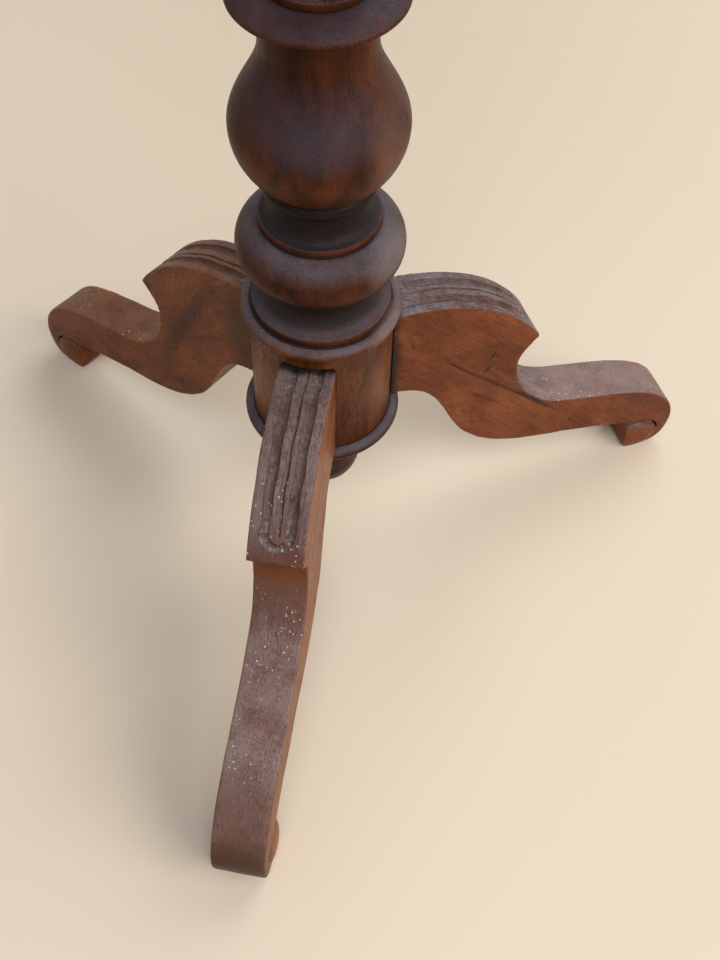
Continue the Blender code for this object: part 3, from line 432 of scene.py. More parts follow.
    # Painted shade: near black at the legs' roots and flute ends, where they meet the hub under its ring, with a
    # ragged edge
    if painted_deep_shade_within:
        ragged = joined(tree, from_axis, ramp(tree, clouds, 0.3, 0.7, -0.0015, 0.0015), "ADD")
        colour = mixed(tree, ramp(tree, ragged, painted_deep_shade_within[1], painted_deep_shade_within[0], 0.0, 0.94), colour, DIRT_AND_PAINTED_SHADE)
    relief = joined(tree, joined(tree, fibres, 0.5), pores, "SUBTRACT")
    if specks:
        strength, near, far = specks
        cells = add_node(tree, "ShaderNodeTexVoronoi", {"Vector": place, "Scale": 700.0, "Randomness": 1.0})
        chance = add_node(tree, "ShaderNodeSeparateColor", {0: cells.outputs["Color"]}).outputs
        size = ramp(tree, chance[1], 0.0, 1.0, 0.06, 0.43)
        spot = ramp(tree, joined(tree, cells.outputs["Distance"], size, "SUBTRACT"), 0.04, -0.05)
        spot = joined(tree, spot, ramp(tree, chance[0], 0.74, 0.76))
        spot = joined(tree, spot, ramp(tree, facing, 0.20, 0.55))
        reached = joined(tree, ramp(tree, from_axis, near - SPECK_FADE_IN, near),
                         ramp(tree, from_axis, far + SPECK_FADE_OUT, far))
        spot = joined(tree, spot, reached)
        spot = joined(tree, spot, ramp(tree, noise(place, 2.0, 0.5, 0.0, 40.0), 0.42, 0.58, 0.0, strength))
        colour = mixed(tree, spot, colour, PALE_SPECK)
        relief = joined(tree, relief, joined(tree, spot, 0.8), "ADD")
    tree.links.new(colour, shader.inputs["Base Color"])

    dull = joined(tree, ramp(tree, streaks, 0.3, 0.7, 0.31, 0.42), joined(tree, film_and_sheen_cover, 0.16), "ADD")
    dull = joined(tree, dull, joined(tree, pores, 0.20), "ADD")
    tree.links.new(dull, shader.inputs["Roughness"])
    shader.inputs["Specular IOR Level"].default_value = gloss
    bump = add_node(tree, "ShaderNodeBump", {"Height": relief, "Strength": 0.8, "Distance": 0.0003})
    tree.links.new(bump.outputs["Normal"], shader.inputs["Normal"])
    return material


LEG_TONES = ((0.104, 0.0255, 0.0076, 1.0), (0.163, 0.0400, 0.0112, 1.0), (0.228, 0.0650, 0.0195, 1.0))
LEFT_LEG_TONES = ((0.070, 0.0170, 0.0042, 1.0), (0.178, 0.0440, 0.0080, 1.0), (0.255, 0.0690, 0.0150, 1.0))
FLUTE_TONES = ((0.050, 0.0140, 0.0050, 1.0), (0.095, 0.0265, 0.0085, 1.0), (0.150, 0.0460, 0.0155, 1.0))
# Film tones, part dust and part painted sheen, for the front and left legs
FRONT_FILM_AND_SHEEN = ((0.276, 0.216, 0.212, 1.0), (0.278, 0.206, 0.186, 1.0))
BROWN_FILM_AND_SHEEN = ((0.250, 0.150, 0.115, 1.0), (0.200, 0.116, 0.078, 1.0))
FLUTE_FILM_AND_SHEEN_SHARE = 0.60
COARSE_PORE, FINE_PORE = (0.0040, 0.00060, 0.33), (0.0042, 0.00042, 0.35)
LEG_GRAIN_FALL = math.radians(46)
LEG_HEART = (0.038, 0.030, 0.132)  # reach, side, height
LEG_SEED = 0.37
# Reaches of the painted shade at the roots and flute ends, and of the dust in the flutes
ROOT_PAINTED_SHADE, FLUTE_PAINTED_SHADE, FLUTE_DUST = (0.0375, 0.0415), (0.0375, 0.0405), (0.044, 0.056)
LEG_PLACES = {"leg_front": -90.0, "leg_right": 30.0, "leg_left": 150.0}
LEG_LOOKS = {
    "leg_front": dict(tones=LEG_TONES, film_and_sheen=(0.66, 0.74), thinnest=(0.35, 0.42), film_and_sheen_tones=FRONT_FILM_AND_SHEEN,
                      stain=(0.80, 0.48), specks=(1.0, 0.098, 0.185), figure=0.25, pore=COARSE_PORE),
    "leg_right": dict(tones=LEG_TONES, film_and_sheen=(0.78, 0.80), thinnest=(0.05, 0.62), film_and_sheen_tones=GREY_FILM_AND_SHEEN,
                      stain=(0.75, 0.15), specks=(0.8, 0.140, 0.165), figure=0.15, pore=FINE_PORE),
    "leg_left": dict(tones=LEFT_LEG_TONES, film_and_sheen=(0.42, 0.42), thinnest=(0.05, 0.35), film_and_sheen_tones=BROWN_FILM_AND_SHEEN,
                     stain=(0.20, 0.10), specks=(0.9, 0.135, 0.195), figure=0.42, pore=FINE_PORE,
                     ring_turn=(0.0, 0.0, math.radians(LEG_PLACES["leg_left"]) + math.pi / 2),
                     ring_size=(0.110, 0.0120, 0.0150), ring_bend=0.9)}
DARK_LINE = (0.030, 0.011, 0.0065, 1.0)
BARE_WOOD = (0.46, 0.30, 0.19, 1.0)
# Tone of the front leg's right side: paler wood, with painted light from the right
PALE_WOOD_AND_PAINTED_LIGHT_SIDE = (0.310, 0.130, 0.0540, 1.0)
DARK_TOE_END, TOE_BROWN = (0.034, 0.020, 0.0145, 1.0), (0.108, 0.0450, 0.0290, 1.0)
UNDER_TIP, TIP_BROWN = (0.170, 0.0740, 0.0430, 1.0), (0.105, 0.0400, 0.0250, 1.0)
ROOT_SHADE, WARM_KNEE = (0.040, 0.0150, 0.0065, 1.0), (0.200, 0.0580, 0.0120, 1.0)
DARK_BAND, LIGHT_STREAK = (0.036, 0.0115, 0.0045, 1.0), (0.190, 0.0600, 0.0150, 1.0)
DARK_BELLY = (0.036, 0.0120, 0.0045, 1.0)
LEG_MARKS = {  # reach, side, height, fall, half sizes along, through and across, tone, strength
    # The front leg's right side is lightened: part paler wood, part painted light from the right
    "leg_front": [(0.1300, 0.0158, 0.0900, 46, (0.30, 0.0025, 0.30), PALE_WOOD_AND_PAINTED_LIGHT_SIDE, 0.60),
                  (0.2040, 0.0130, 0.0545, 20, (0.0040, 0.002, 0.0018), BARE_WOOD, 0.9),
                  (0.1190, 0.0135, 0.1320, 60, (0.0040, 0.002, 0.0016), BARE_WOOD, 0.7),
                  # The toe's end and the bottom of its curl are darkened
                  (0.2268, 0.0, 0.0190, 90, (0.0300, 0.034, 0.0165), DARK_TOE_END, 0.75),
                  (0.2110, 0.0, 0.0520, 40, (0.0330, 0.030, 0.0240), TOE_BROWN, 0.62),
                  (0.1130, 0.0, 0.1040, 90, (0.0240, 0.030, 0.0130), UNDER_TIP, 0.45),
                  (0.1165, 0.0, 0.1390, 59, (0.0130, 0.030, 0.0100), TIP_BROWN, 0.50)],
    "leg_right": [(0.0919, -0.014, 0.1286, 121, (0.0055, 0.002, 0.0015), DARK_LINE, 0.9),
                  (0.0902, -0.014, 0.1190, 128, (0.0045, 0.002, 0.0016), DARK_LINE, 0.9),
                  (0.0720, -0.014, 0.1272, 44, (0.0140, 0.003, 0.0010), DARK_LINE, 0.9),
                  (0.0990, -0.014, 0.1020, 43, (0.0560, 0.004, 0.0013), DARK_LINE, 0.75),
                  (0.1239, -0.014, 0.0789, 45, (0.0300, 0.003, 0.0022), DARK_LINE, 0.85),
                  (0.0914, -0.014, 0.0937, 40, (0.0150, 0.002, 0.0020), DARK_LINE, 0.5),
                  (0.0448, -0.014, 0.1535, 68, (0.0028, 0.002, 0.0010), DARK_LINE, 0.8)],
    "leg_left": [(0.0430, 0.014, 0.1500, 90, (0.0400, 0.004, 0.0200), ROOT_SHADE, 0.65),
                 (0.0934, 0.014, 0.1448, 26, (0.0210, 0.004, 0.0120), WARM_KNEE, 0.45),
                 (0.0885, 0.014, 0.1210, 61, (0.0640, 0.004, 0.0070), DARK_BAND, 0.72),
                 (0.0660, 0.014, 0.1444, 62, (0.0310, 0.004, 0.0035), LIGHT_STREAK, 0.35),
                 (0.0980, 0.014, 0.0668, 26, (0.0200, 0.004, 0.0060), DARK_BELLY, 0.45)]}
for number, (node, degrees) in enumerate(LEG_PLACES.items()):
    azimuth = math.radians(degrees)
    outwards = Vector((math.cos(azimuth), math.sin(azimuth), 0.0))
    sideways = Vector((-outwards.y, outwards.x, 0.0))
    grain = (0.0, LEG_GRAIN_FALL, azimuth)
    heart = LEG_HEART[0] * outwards + LEG_HEART[1] * sideways + Vector((0.0, 0.0, LEG_HEART[2]))
    bend = bend_point.x * outwards + Vector((0.0, 0.0, bend_point.z))
    marks = [(reach * outwards + side * sideways + Vector((0.0, 0.0, height)),
              (0.0, math.radians(fall), azimuth), half, tone, strength)
             for reach, side, height, fall, half, tone, strength in LEG_MARKS[node]]
    look = LEG_LOOKS[node]
    flute_film_and_sheen = (FLUTE_FILM_AND_SHEEN_SHARE * look["film_and_sheen"][0], look["film_and_sheen"][1])
    flute_look = {**look, "tones": FLUTE_TONES, "film_and_sheen": flute_film_and_sheen}
    pick(leg)
    bpy.ops.object.duplicate(linked=False)
    piece = bpy.context.object
    piece.name = piece.data.name = node + "_carved"
    piece.rotation_euler = (0.0, 0.0, azimuth)
    bpy.ops.object.transform_apply(location=False, rotation=True, scale=False)
    piece.data.materials[0] = waxed_wood(node + "_wood", grain, heart, LEG_SEED * number, **look,
                                         painted_deep_shade_within=ROOT_PAINTED_SHADE, marks=marks)
    piece.data.materials[1] = waxed_wood(node + "_flute_wood", grain, heart, LEG_SEED * number, **flute_look,
                                         painted_deep_shade_within=FLUTE_PAINTED_SHADE, dusty_within=FLUTE_DUST, dusty_at=bend)
    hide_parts(node)
    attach(piece, "root")
bpy.data.objects.remove(leg, do_unlink=True)


# ---------------------------------------------------------------------------------------------
# Hub. A turned barrel of the same hardwood with a half-round ring at its top. Three flats are cut
# down its side for the legs' shoulders, and the legs' dovetails slide up into it from below.
HUB_RADIUS = 0.0358
HUB_FOOT = 0.1181
HUB_SHOULDER = 0.1870
HUB_TOP = 0.1933
HUB_RING_RADIUS = 0.0393
HUB_FLAT = 0.03295
SEAT_GAP = 0.0010
SEAT_SIDE_GAP = 0.0004
SEAT_CUT = 0.010
SEAT_OVERRUN = 0.02
LATHE_STEPS = 144
UPRIGHT = (0.0, math.radians(-90), 0.0)
UNTURNED = (0.0, 0.0, 0.0)
# Lilac film of the turned pieces, part dust and part painted sheen on their upward faces
LILAC_FILM_AND_SHEEN = ((0.148, 0.132, 0.150, 1.0),) * 2
HUB_TONES = ((0.050, 0.0132, 0.0040, 1.0), (0.105, 0.0285, 0.0080, 1.0), (0.160, 0.0480, 0.0140, 1.0))
# The first tone lightens the barrel's left: paler wood, with painted light thrown up from the floor
LEFT_PALE_WOOD_AND_PAINTED_BOUNCE, WORN_RIGHT = (0.240, 0.0850, 0.0290, 1.0), (0.200, 0.0750, 0.0320, 1.0)
# Painted highlight tone for the hub ring's front right
PAINTED_RING_HIGHLIGHT = (0.200, 0.138, 0.115, 1.0)


def half_round(core, radius, top, height, count=16):
    """Outline of a bead standing out from core to radius, from its top down."""
    angles = [math.pi * (0.5 - i / count) for i in range(count + 1)]
    return [(core + (radius - core) * math.cos(a), top - height / 2 + height / 2 * math.sin(a)) for a in angles]


def on_the_lathe(name, outline, arris=0.00035):
    """Turned piece: its outline drawn from the top down and spun about the column's axis, arrises eased."""
    piece = trace(name, [(point[0], 0.0, point[1]) for point in outline])
    bpy.ops.mesh.select_all(action="SELECT")
    bpy.ops.mesh.spin(steps=LATHE_STEPS, angle=math.tau, center=(0.0, 0.0, 0.0), axis=(0.0, 0.0, 1.0))
    close_shape()
    apply_modifier(piece, "BEVEL", width=arris, segments=2, limit_method="ANGLE", angle_limit=math.radians(40))
    pick(piece)
    bpy.ops.object.shade_smooth_by_angle(angle=math.radians(45))
    return piece


def stand_for(piece, node):
    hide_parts(node)
    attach(piece, "root")


hub = on_the_lathe("hub_barrel", [(0.0, HUB_TOP)]
                   + half_round(HUB_RADIUS, HUB_RING_RADIUS, HUB_TOP, HUB_TOP - HUB_SHOULDER)
                   + [(HUB_RADIUS, HUB_FOOT), (0.0, HUB_FOOT)])
# The hub's flats and seats, inside the barrel, are darkened with painted shade
hub.data.materials.append(waxed_wood(
    "hub_wood", UPRIGHT, (0.021, 0.016, 0.0), 0.23, HUB_TONES,
    film_and_sheen=(0.70, 0.70), film_and_sheen_tones=LILAC_FILM_AND_SHEEN, thinnest=(0.6, 0.6), film_and_sheen_facing=(0.20, 0.90),
    figure=0.25, wear=0.25, gloss=0.10, pore=(0.0042, 0.00042, 0.5), painted_shade_within=(0.0351, 0.0355),
    # The barrel's left: paler wood with painted light from the floor
    marks=[((-0.028, -0.026, 0.150), UNTURNED, (0.022, 0.022, 0.030), LEFT_PALE_WOOD_AND_PAINTED_BOUNCE, 0.6),
           # Painted highlight on the hub ring's front right
           ((0.0365, -0.014, 0.1905), UNTURNED, (0.012, 0.022, 0.006), PAINTED_RING_HIGHLIGHT, 0.55),
           ((0.0345, -0.010, 0.150), UNTURNED, (0.012, 0.014, 0.034), WORN_RIGHT, 0.5)]))
seat_top = LEG_TOP + SEAT_GAP
for degrees in LEG_PLACES.values():
    azimuth = math.radians(degrees)
    reach = HUB_FLAT + SEAT_CUT / 2
    bpy.ops.object.select_all(action="DESELECT")
    bpy.ops.mesh.primitive_cube_add(
        size=1.0, rotation=(0.0, 0.0, azimuth),
        scale=(SEAT_CUT, LEG_THICKNESS + SEAT_SIDE_GAP, seat_top - HUB_FOOT + SEAT_OVERRUN),
        location=(reach * math.cos(azimuth), reach * math.sin(azimuth), (seat_top + HUB_FOOT - SEAT_OVERRUN) / 2))
    cut_away(hub, bpy.context.object)
pick(hub)
bpy.ops.object.shade_smooth_by_angle(angle=math.radians(35))
stand_for(hub, "hub")


# ---------------------------------------------------------------------------------------------
# Base ring. A turned disc with a rounded edge, screwed up under the hub to close the dovetail
# housings. Its three countersunk steel screws sit between the legs.
BASE_RING_RADIUS = 0.0407
BASE_RING_TOP = 0.1178
BASE_RING_HEIGHT = 0.0070
BASE_RING_NOSE = 0.0042
BASE_RING_SCREW_REACH = 0.02325
RING_SCREW_BITE = 0.015
COLUMN_TONES = ((0.018, 0.0050, 0.0022, 1.0), (0.048, 0.0118, 0.0036, 1.0), (0.100, 0.0270, 0.0078, 1.0))
ring_foot = BASE_RING_TOP - BASE_RING_HEIGHT
base_ring = on_the_lathe("base_ring_turned", [(0.0, BASE_RING_TOP)]
                         + half_round(BASE_RING_RADIUS - BASE_RING_NOSE, BASE_RING_RADIUS,
                                      BASE_RING_TOP, BASE_RING_HEIGHT)
                         + [(0.0, ring_foot)])
# The base ring inside its rounded nose, under the hub and beneath, is darkened with painted shade
base_ring.data.materials.append(waxed_wood(
    "base_ring_wood", UPRIGHT, (-0.018, 0.020, 0.0), 0.55, COLUMN_TONES,
    film_and_sheen=(0.75, 0.75), film_and_sheen_tones=LILAC_FILM_AND_SHEEN, thinnest=(0.6, 0.6), film_and_sheen_facing=(0.20, 0.90),
    wear=0.25, gloss=0.10, painted_shade_within=(0.0360, 0.0368)))
stand_for(base_ring, "base_ring")

BRIGHT_STEEL, RUST = (0.20, 0.185, 0.17, 1.0), (0.075, 0.045, 0.028, 1.0)
steel = bpy.data.materials.new("screw_steel")
steel.use_nodes = True
steel_tree = steel.node_tree
steel_shader = steel_tree.nodes["Principled BSDF"]
steel_place = add_node(steel_tree, "ShaderNodeTexCoord").outputs["Object"]
tarnish = add_node(steel_tree, "ShaderNodeTexNoise", {"Vector": steel_place, "Scale": 900.0, "Detail": 5.0})
tarnish = tarnish.outputs["Fac"]
brushing = placed(steel_tree, steel_place, (0.0, 0.0, 0.0), UNTURNED, (0.004, 0.0003, 0.004))
scratches = add_node(steel_tree, "ShaderNodeTexNoise", {"Vector": brushing, "Scale": 1.0, "Detail": 2.0})
steel_tone = mixed(steel_tree, ramp(steel_tree, tarnish, 0.42, 0.62), BRIGHT_STEEL, RUST)
steel_tree.links.new(steel_tone, steel_shader.inputs["Base Color"])
steel_tree.links.new(ramp(steel_tree, tarnish, 0.35, 0.65, 0.34, 0.62), steel_shader.inputs["Roughness"])
steel_bump = add_node(steel_tree, "ShaderNodeBump", {"Height": scratches.outputs["Fac"], "Strength": 0.25,
                                                     "Distance": 0.0001})
steel_tree.links.new(steel_bump.outputs["Normal"], steel_shader.inputs["Normal"])
steel_shader.inputs["Metallic"].default_value = 1.0

SHANK_RADIUS = 0.0018
POINT_LENGTH = 0.004
HEAD_RADIUS, HEAD_FACE_RADIUS = 0.0040, 0.0038
HEAD_HEIGHT, HEAD_LIP = 0.0025, 0.0002
SCREW_SLOT = (0.0010, 0.0100, 0.0016)


def slotted_screw(name, head_face, tip):
    """Countersunk wood screw with a saw-cut slot, head down on the column's axis."""
    screw = on_the_lathe(name, [(0.0, tip), (SHANK_RADIUS, tip - POINT_LENGTH),
                                (SHANK_RADIUS, head_face + HEAD_HEIGHT), (HEAD_RADIUS, head_face + HEAD_LIP),
                                (HEAD_FACE_RADIUS, head_face), (0.0, head_face)], 0.00012)
    screw.data.materials.append(steel)
    bpy.ops.object.select_all(action="DESELECT")
    bpy.ops.mesh.primitive_cube_add(size=1.0, location=(0.0, 0.0, head_face), scale=SCREW_SLOT)
    cut_away(screw, bpy.context.object)
    return screw


def set_screws(first, places, stem):
    """Copies of one screw moved to their holes, each turned as it was left."""
    for number, (reach, degrees) in enumerate(places, start=1):
        azimuth = math.radians(degrees)
        pick(first)
        bpy.ops.object.duplicate(linked=False)
        screw = bpy.context.object
        screw.name = screw.data.name = f"{stem}_{number}_slotted"
        screw.location = (reach * math.cos(azimuth), reach * math.sin(azimuth), 0.0)
        screw.rotation_euler = (0.0, 0.0, azimuth * 1.7 + number)
        bpy.ops.object.transform_apply(location=True, rotation=True, scale=False)
        stand_for(screw, f"{stem}_{number}")
    bpy.data.objects.remove(first, do_unlink=True)


set_screws(slotted_screw("ring_screw", ring_foot, HUB_FOOT + RING_SCREW_BITE),
           [(BASE_RING_SCREW_REACH, degrees + 180) for degrees in LEG_PLACES.values()], "base_ring_screw")


# ---------------------------------------------------------------------------------------------
# Drop finial. A capped bulb hanging under the base ring, turned from one piece of the same wood.
# Its tenon is glued up through the ring into the hub.
FINIAL_TOP = 0.1105
FINIAL_CAP_RADIUS, FINIAL_CAP_HEIGHT = 0.0160, 0.0039
finial_waist = (0.0130, FINIAL_TOP - 0.0103)
finial_belly = (0.0205, FINIAL_TOP - 0.0355)
finial_foot = (0.0, FINIAL_TOP - 0.0575)
finial_cap_foot = (FINIAL_CAP_RADIUS, FINIAL_TOP - FINIAL_CAP_HEIGHT)
finial = on_the_lathe("drop_finial_turned", [(0.0, FINIAL_TOP), (FINIAL_CAP_RADIUS, FINIAL_TOP)]
                      + curve_between(finial_cap_foot, 180, finial_waist, -90)
                      + curve_between(finial_waist, -30, finial_belly, -90)
                      + curve_between(finial_belly, -90, finial_foot, 180) + [finial_foot])
finial.data.materials.append(waxed_wood(
    "finial_wood", UPRIGHT, (0.012, -0.020, 0.0), 0.64, COLUMN_TONES, film_and_sheen_tones=LILAC_FILM_AND_SHEEN, wear=0.25))
stand_for(finial, "drop_finial")


# ---------------------------------------------------------------------------------------------
# Ring turning. Fillet and deep cove on the hub, a big torus, a fillet, a second cove and the bead
# that the vase sits on, all turned from one block and stained darker than the hub.
RING_FOOT = 0.1936
LOWER_FILLET = (0.0337, RING_FOOT + 0.0036)
LOWER_COVE_HEIGHT, UPPER_COVE_HEIGHT = 0.0217, 0.0154
WAIST_SHARE = 0.38
TORUS_CORE, TORUS_RADIUS = 0.0282, 0.0396
TORUS_FOOT, TORUS_TOP = 0.2189, 0.2446
UPPER_FILLET = (0.0281, 0.2490)
BEAD_CORE, BEAD_RADIUS = 0.0239, 0.0268
BEAD_FOOT, BEAD_TOP = 0.2644, 0.2716
# Painted highlight tone for the torus's right
# Painted shade tone for the torus's left
PAINTED_TORUS_HIGHLIGHT, PAINTED_TORUS_SHADE = (0.195, 0.162, 0.162, 1.0), (0.034, 0.0115, 0.0055, 1.0)
DARK_LEDGE = (0.030, 0.022, 0.023, 1.0)
lower_waist = (0.0256, TORUS_FOOT - LOWER_COVE_HEIGHT * WAIST_SHARE)
upper_waist = (0.0217, BEAD_FOOT - UPPER_COVE_HEIGHT * WAIST_SHARE)
ring_turning = on_the_lathe("ring_turning_turned", [(0.0, BEAD_TOP)]
                            + half_round(BEAD_CORE, BEAD_RADIUS, BEAD_TOP, BEAD_TOP - BEAD_FOOT)
                            + curve_between((BEAD_CORE, BEAD_FOOT), 180, upper_waist, -90)[1:]
                            + curve_between(upper_waist, -90, UPPER_FILLET, 0) + [UPPER_FILLET]
                            + half_round(TORUS_CORE, TORUS_RADIUS, TORUS_TOP, TORUS_TOP - TORUS_FOOT, 32)
                            + curve_between((TORUS_CORE, TORUS_FOOT), 180, lower_waist, -90)[1:]
                            + curve_between(lower_waist, -90, LOWER_FILLET, 0)
                            + [LOWER_FILLET, (LOWER_FILLET[0], RING_FOOT), (0.0, RING_FOOT)])
# The coves, inside the torus and the bead, are darkened with painted shade
ring_turning.data.materials.append(waxed_wood(
    "ring_turning_wood", UPRIGHT, (-0.020, -0.014, 0.0), 0.11, COLUMN_TONES,
    film_and_sheen=(0.62, 0.62), film_and_sheen_tones=LILAC_FILM_AND_SHEEN, thinnest=(0.55, 0.55), film_and_sheen_facing=(0.25, 0.95),
    figure=0.2, wear=0.3, gloss=0.08, painted_shade_within=(0.0272, 0.0296),
    red_bands=((LOWER_FILLET[1] - 0.0020, LOWER_FILLET[1] + 0.0003),
               (UPPER_FILLET[1] - 0.0022, UPPER_FILLET[1] + 0.0003)),
    # Painted highlight on the torus's right
    marks=[((0.0345, -0.012, 0.2370), UNTURNED, (0.014, 0.024, 0.012), PAINTED_TORUS_HIGHLIGHT, 0.55),
           # Painted shade on the torus's left
           ((-0.041, -0.012, 0.2310), UNTURNED, (0.015, 0.028, 0.016), PAINTED_TORUS_SHADE, 0.60),
           ((0.0, 0.0, 0.2015), UNTURNED, (0.100, 0.100, 0.0060), DARK_LEDGE, 0.60)]))
stand_for(ring_turning, "ring_turning")


# ---------------------------------------------------------------------------------------------
# Vase. A full bulb on a small seat, drawn in to a neck under a wide collar with a rounded edge.
# It is turned from one block of the darker wood and tenoned into the ring turning.
VASE_FOOT = 0.2719
VASE_SEAT = (0.0258, VASE_FOOT)
NECK_RADIUS, NECK_STRAIGHT = 0.0243, 0.008
COLLAR_CORE, COLLAR_RADIUS, COLLAR_HEIGHT = 0.0236, 0.0362, 0.0083
VASE_TONES = ((0.022, 0.0055, 0.0020, 1.0), (0.058, 0.0135, 0.0034, 1.0), (0.116, 0.0300, 0.0076, 1.0))
# The vase's film, part dust and part painted sheen
VASE_FILM_AND_SHEEN = ((0.057, 0.045, 0.058, 1.0),) * 2
# Dull lilac tone for the vase's front: part film, part painted sheen
# Painted highlight tone for the bulb's right
VASE_FRONT_FILM_AND_SHEEN, PAINTED_BULB_HIGHLIGHT = (0.056, 0.042, 0.050, 1.0), (0.150, 0.074, 0.050, 1.0)
# Painted shade tone for the bulb's left
# Painted shade tone for the collar's left
PAINTED_BULB_SHADE, PAINTED_COLLAR_SHADE = (0.030, 0.0095, 0.0035, 1.0), (0.030, 0.0140, 0.0085, 1.0)
# Painted shade tone for the collar's underside
PAINTED_SHADE_UNDER_COLLAR = (0.022, 0.0095, 0.0060, 1.0)
vase_belly = (0.0387, VASE_FOOT + 0.0265)
vase_neck = (NECK_RADIUS, vase_belly[1] + 0.0399)
vase_neck_top = vase_neck[1] + 0.0158
vase_top = vase_neck_top + COLLAR_HEIGHT
vase = on_the_lathe("vase_turned", [(0.0, vase_top)]
                    + half_round(COLLAR_CORE, COLLAR_RADIUS, vase_top, COLLAR_HEIGHT, 20)
                    + [(NECK_RADIUS, vase_neck_top), (NECK_RADIUS, vase_neck[1] + NECK_STRAIGHT)]
                    + curve_between(vase_neck, -90, vase_belly, -90)
                    + curve_between(vase_belly, -90, VASE_SEAT, -142) + [VASE_SEAT, (0.0, VASE_FOOT)])
vase.data.materials.append(waxed_wood(
    "vase_wood", UPRIGHT, (0.017, -0.019, 0.0), 0.43, VASE_TONES,
    film_and_sheen=(0.80, 0.80), film_and_sheen_tones=VASE_FILM_AND_SHEEN, thinnest=(0.5, 0.5), figure=0.25, wear=0.25, gloss=0.08,
    # The bulb's front: part dull film, part painted sheen
    marks=[((0.006, -0.036, 0.312), UNTURNED, (0.032, 0.020, 0.017), VASE_FRONT_FILM_AND_SHEEN, 0.55),
           # Painted highlight on the bulb's right
           ((0.033, -0.018, 0.300), UNTURNED, (0.016, 0.016, 0.026), PAINTED_BULB_HIGHLIGHT, 0.55),
           # Painted shade on the bulb's left
           ((-0.040, -0.014, 0.302), UNTURNED, (0.018, 0.032, 0.046), PAINTED_BULB_SHADE, 0.65),
           # Painted shade on the collar's left
           ((-0.036, -0.012, 0.360), UNTURNED, (0.016, 0.026, 0.012), PAINTED_COLLAR_SHADE, 0.60),
           # Painted shade in a band round the collar's underside and the top of the neck
           ((0.0, 0.0, 0.3562), UNTURNED, (0.120, 0.120, 0.0035), PAINTED_SHADE_UNDER_COLLAR, 0.70)]))
stand_for(vase, "vase")


# ---------------------------------------------------------------------------------------------
# Upper shaft. A slender baluster on a cove and bead, with an astragal and a flared capital. Its top
# tenon passes through the block and is spread by a wedge driven into a saw kerf.
SHAFT_FOOT = 0.3627
SHAFT_FILLET = (0.0218, SHAFT_FOOT + 0.0037)
SHAFT_COVE_HEIGHT = 0.0140
SHAFT_BEAD_HEIGHT, SHAFT_BEAD_RADIUS = 0.0070, 0.0216
BALUSTER_FOOT_RADIUS, NECKING_RADIUS = 0.0162, 0.0140
ASTRAGAL_HEIGHT, ASTRAGAL_RADIUS = 0.0080, 0.0186
CAPITAL_HEIGHT, CAPITAL_CORE, CAPITAL_RADIUS = 0.0105, 0.0260, 0.0290
WEDGE_TONES = ((0.090, 0.040, 0.020, 1.0), (0.190, 0.090, 0.045, 1.0), (0.260, 0.130, 0.070, 1.0))
shaft_bead_foot = SHAFT_FILLET[1] + SHAFT_COVE_HEIGHT
baluster_foot = shaft_bead_foot + SHAFT_BEAD_HEIGHT
swell = (0.0238, baluster_foot + 0.0560)
baluster_top = swell[1] + 0.1800
necking_foot = baluster_top + ASTRAGAL_HEIGHT
flare_foot = necking_foot + 0.0240
flare_top = flare_foot + 0.0320
shaft_top = flare_top + CAPITAL_HEIGHT
shaft_waist = (0.0176, shaft_bead_foot - SHAFT_COVE_HEIGHT * WAIST_SHARE)
upper_shaft = on_the_lathe("upper_shaft_turned", [(0.0, shaft_top)]
                           + half_round(CAPITAL_CORE, CAPITAL_RADIUS, shaft_top, CAPITAL_HEIGHT)
                           + curve_between((CAPITAL_CORE, flare_top), 180, (NECKING_RADIUS, flare_foot), -90)[1:]
                           + half_round(NECKING_RADIUS, ASTRAGAL_RADIUS, necking_foot, ASTRAGAL_HEIGHT)
                           + curve_between((NECKING_RADIUS, baluster_top), -90, swell, -90, 0.003)[1:]
                           + curve_between(swell, -90, (BALUSTER_FOOT_RADIUS, baluster_foot), -90, 0.002)
                           + half_round(BALUSTER_FOOT_RADIUS, SHAFT_BEAD_RADIUS, baluster_foot, SHAFT_BEAD_HEIGHT)
                           + [shaft_waist] + curve_between(shaft_waist, -90, SHAFT_FILLET, 0)[1:]
                           + [SHAFT_FILLET, (SHAFT_FILLET[0], SHAFT_FOOT), (0.0, SHAFT_FOOT)])
# The shaft nearer the axis than its necking is darkened with painted shade
upper_shaft.data.materials.append(waxed_wood(
    "upper_shaft_wood", UPRIGHT, (-0.014, 0.017, 0.0), 0.92, COLUMN_TONES, film_and_sheen_tones=LILAC_FILM_AND_SHEEN, wear=0.3,
    painted_shade_within=(0.0130, 0.0140)))
stand_for(upper_shaft, "upper_shaft")
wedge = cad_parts["tenon_wedge"]
wedge.data.materials.clear()
wedge.data.materials.append(waxed_wood("wedge_wood", UPRIGHT, (0.03, 0.0, 0.0), 0.31, WEDGE_TONES))


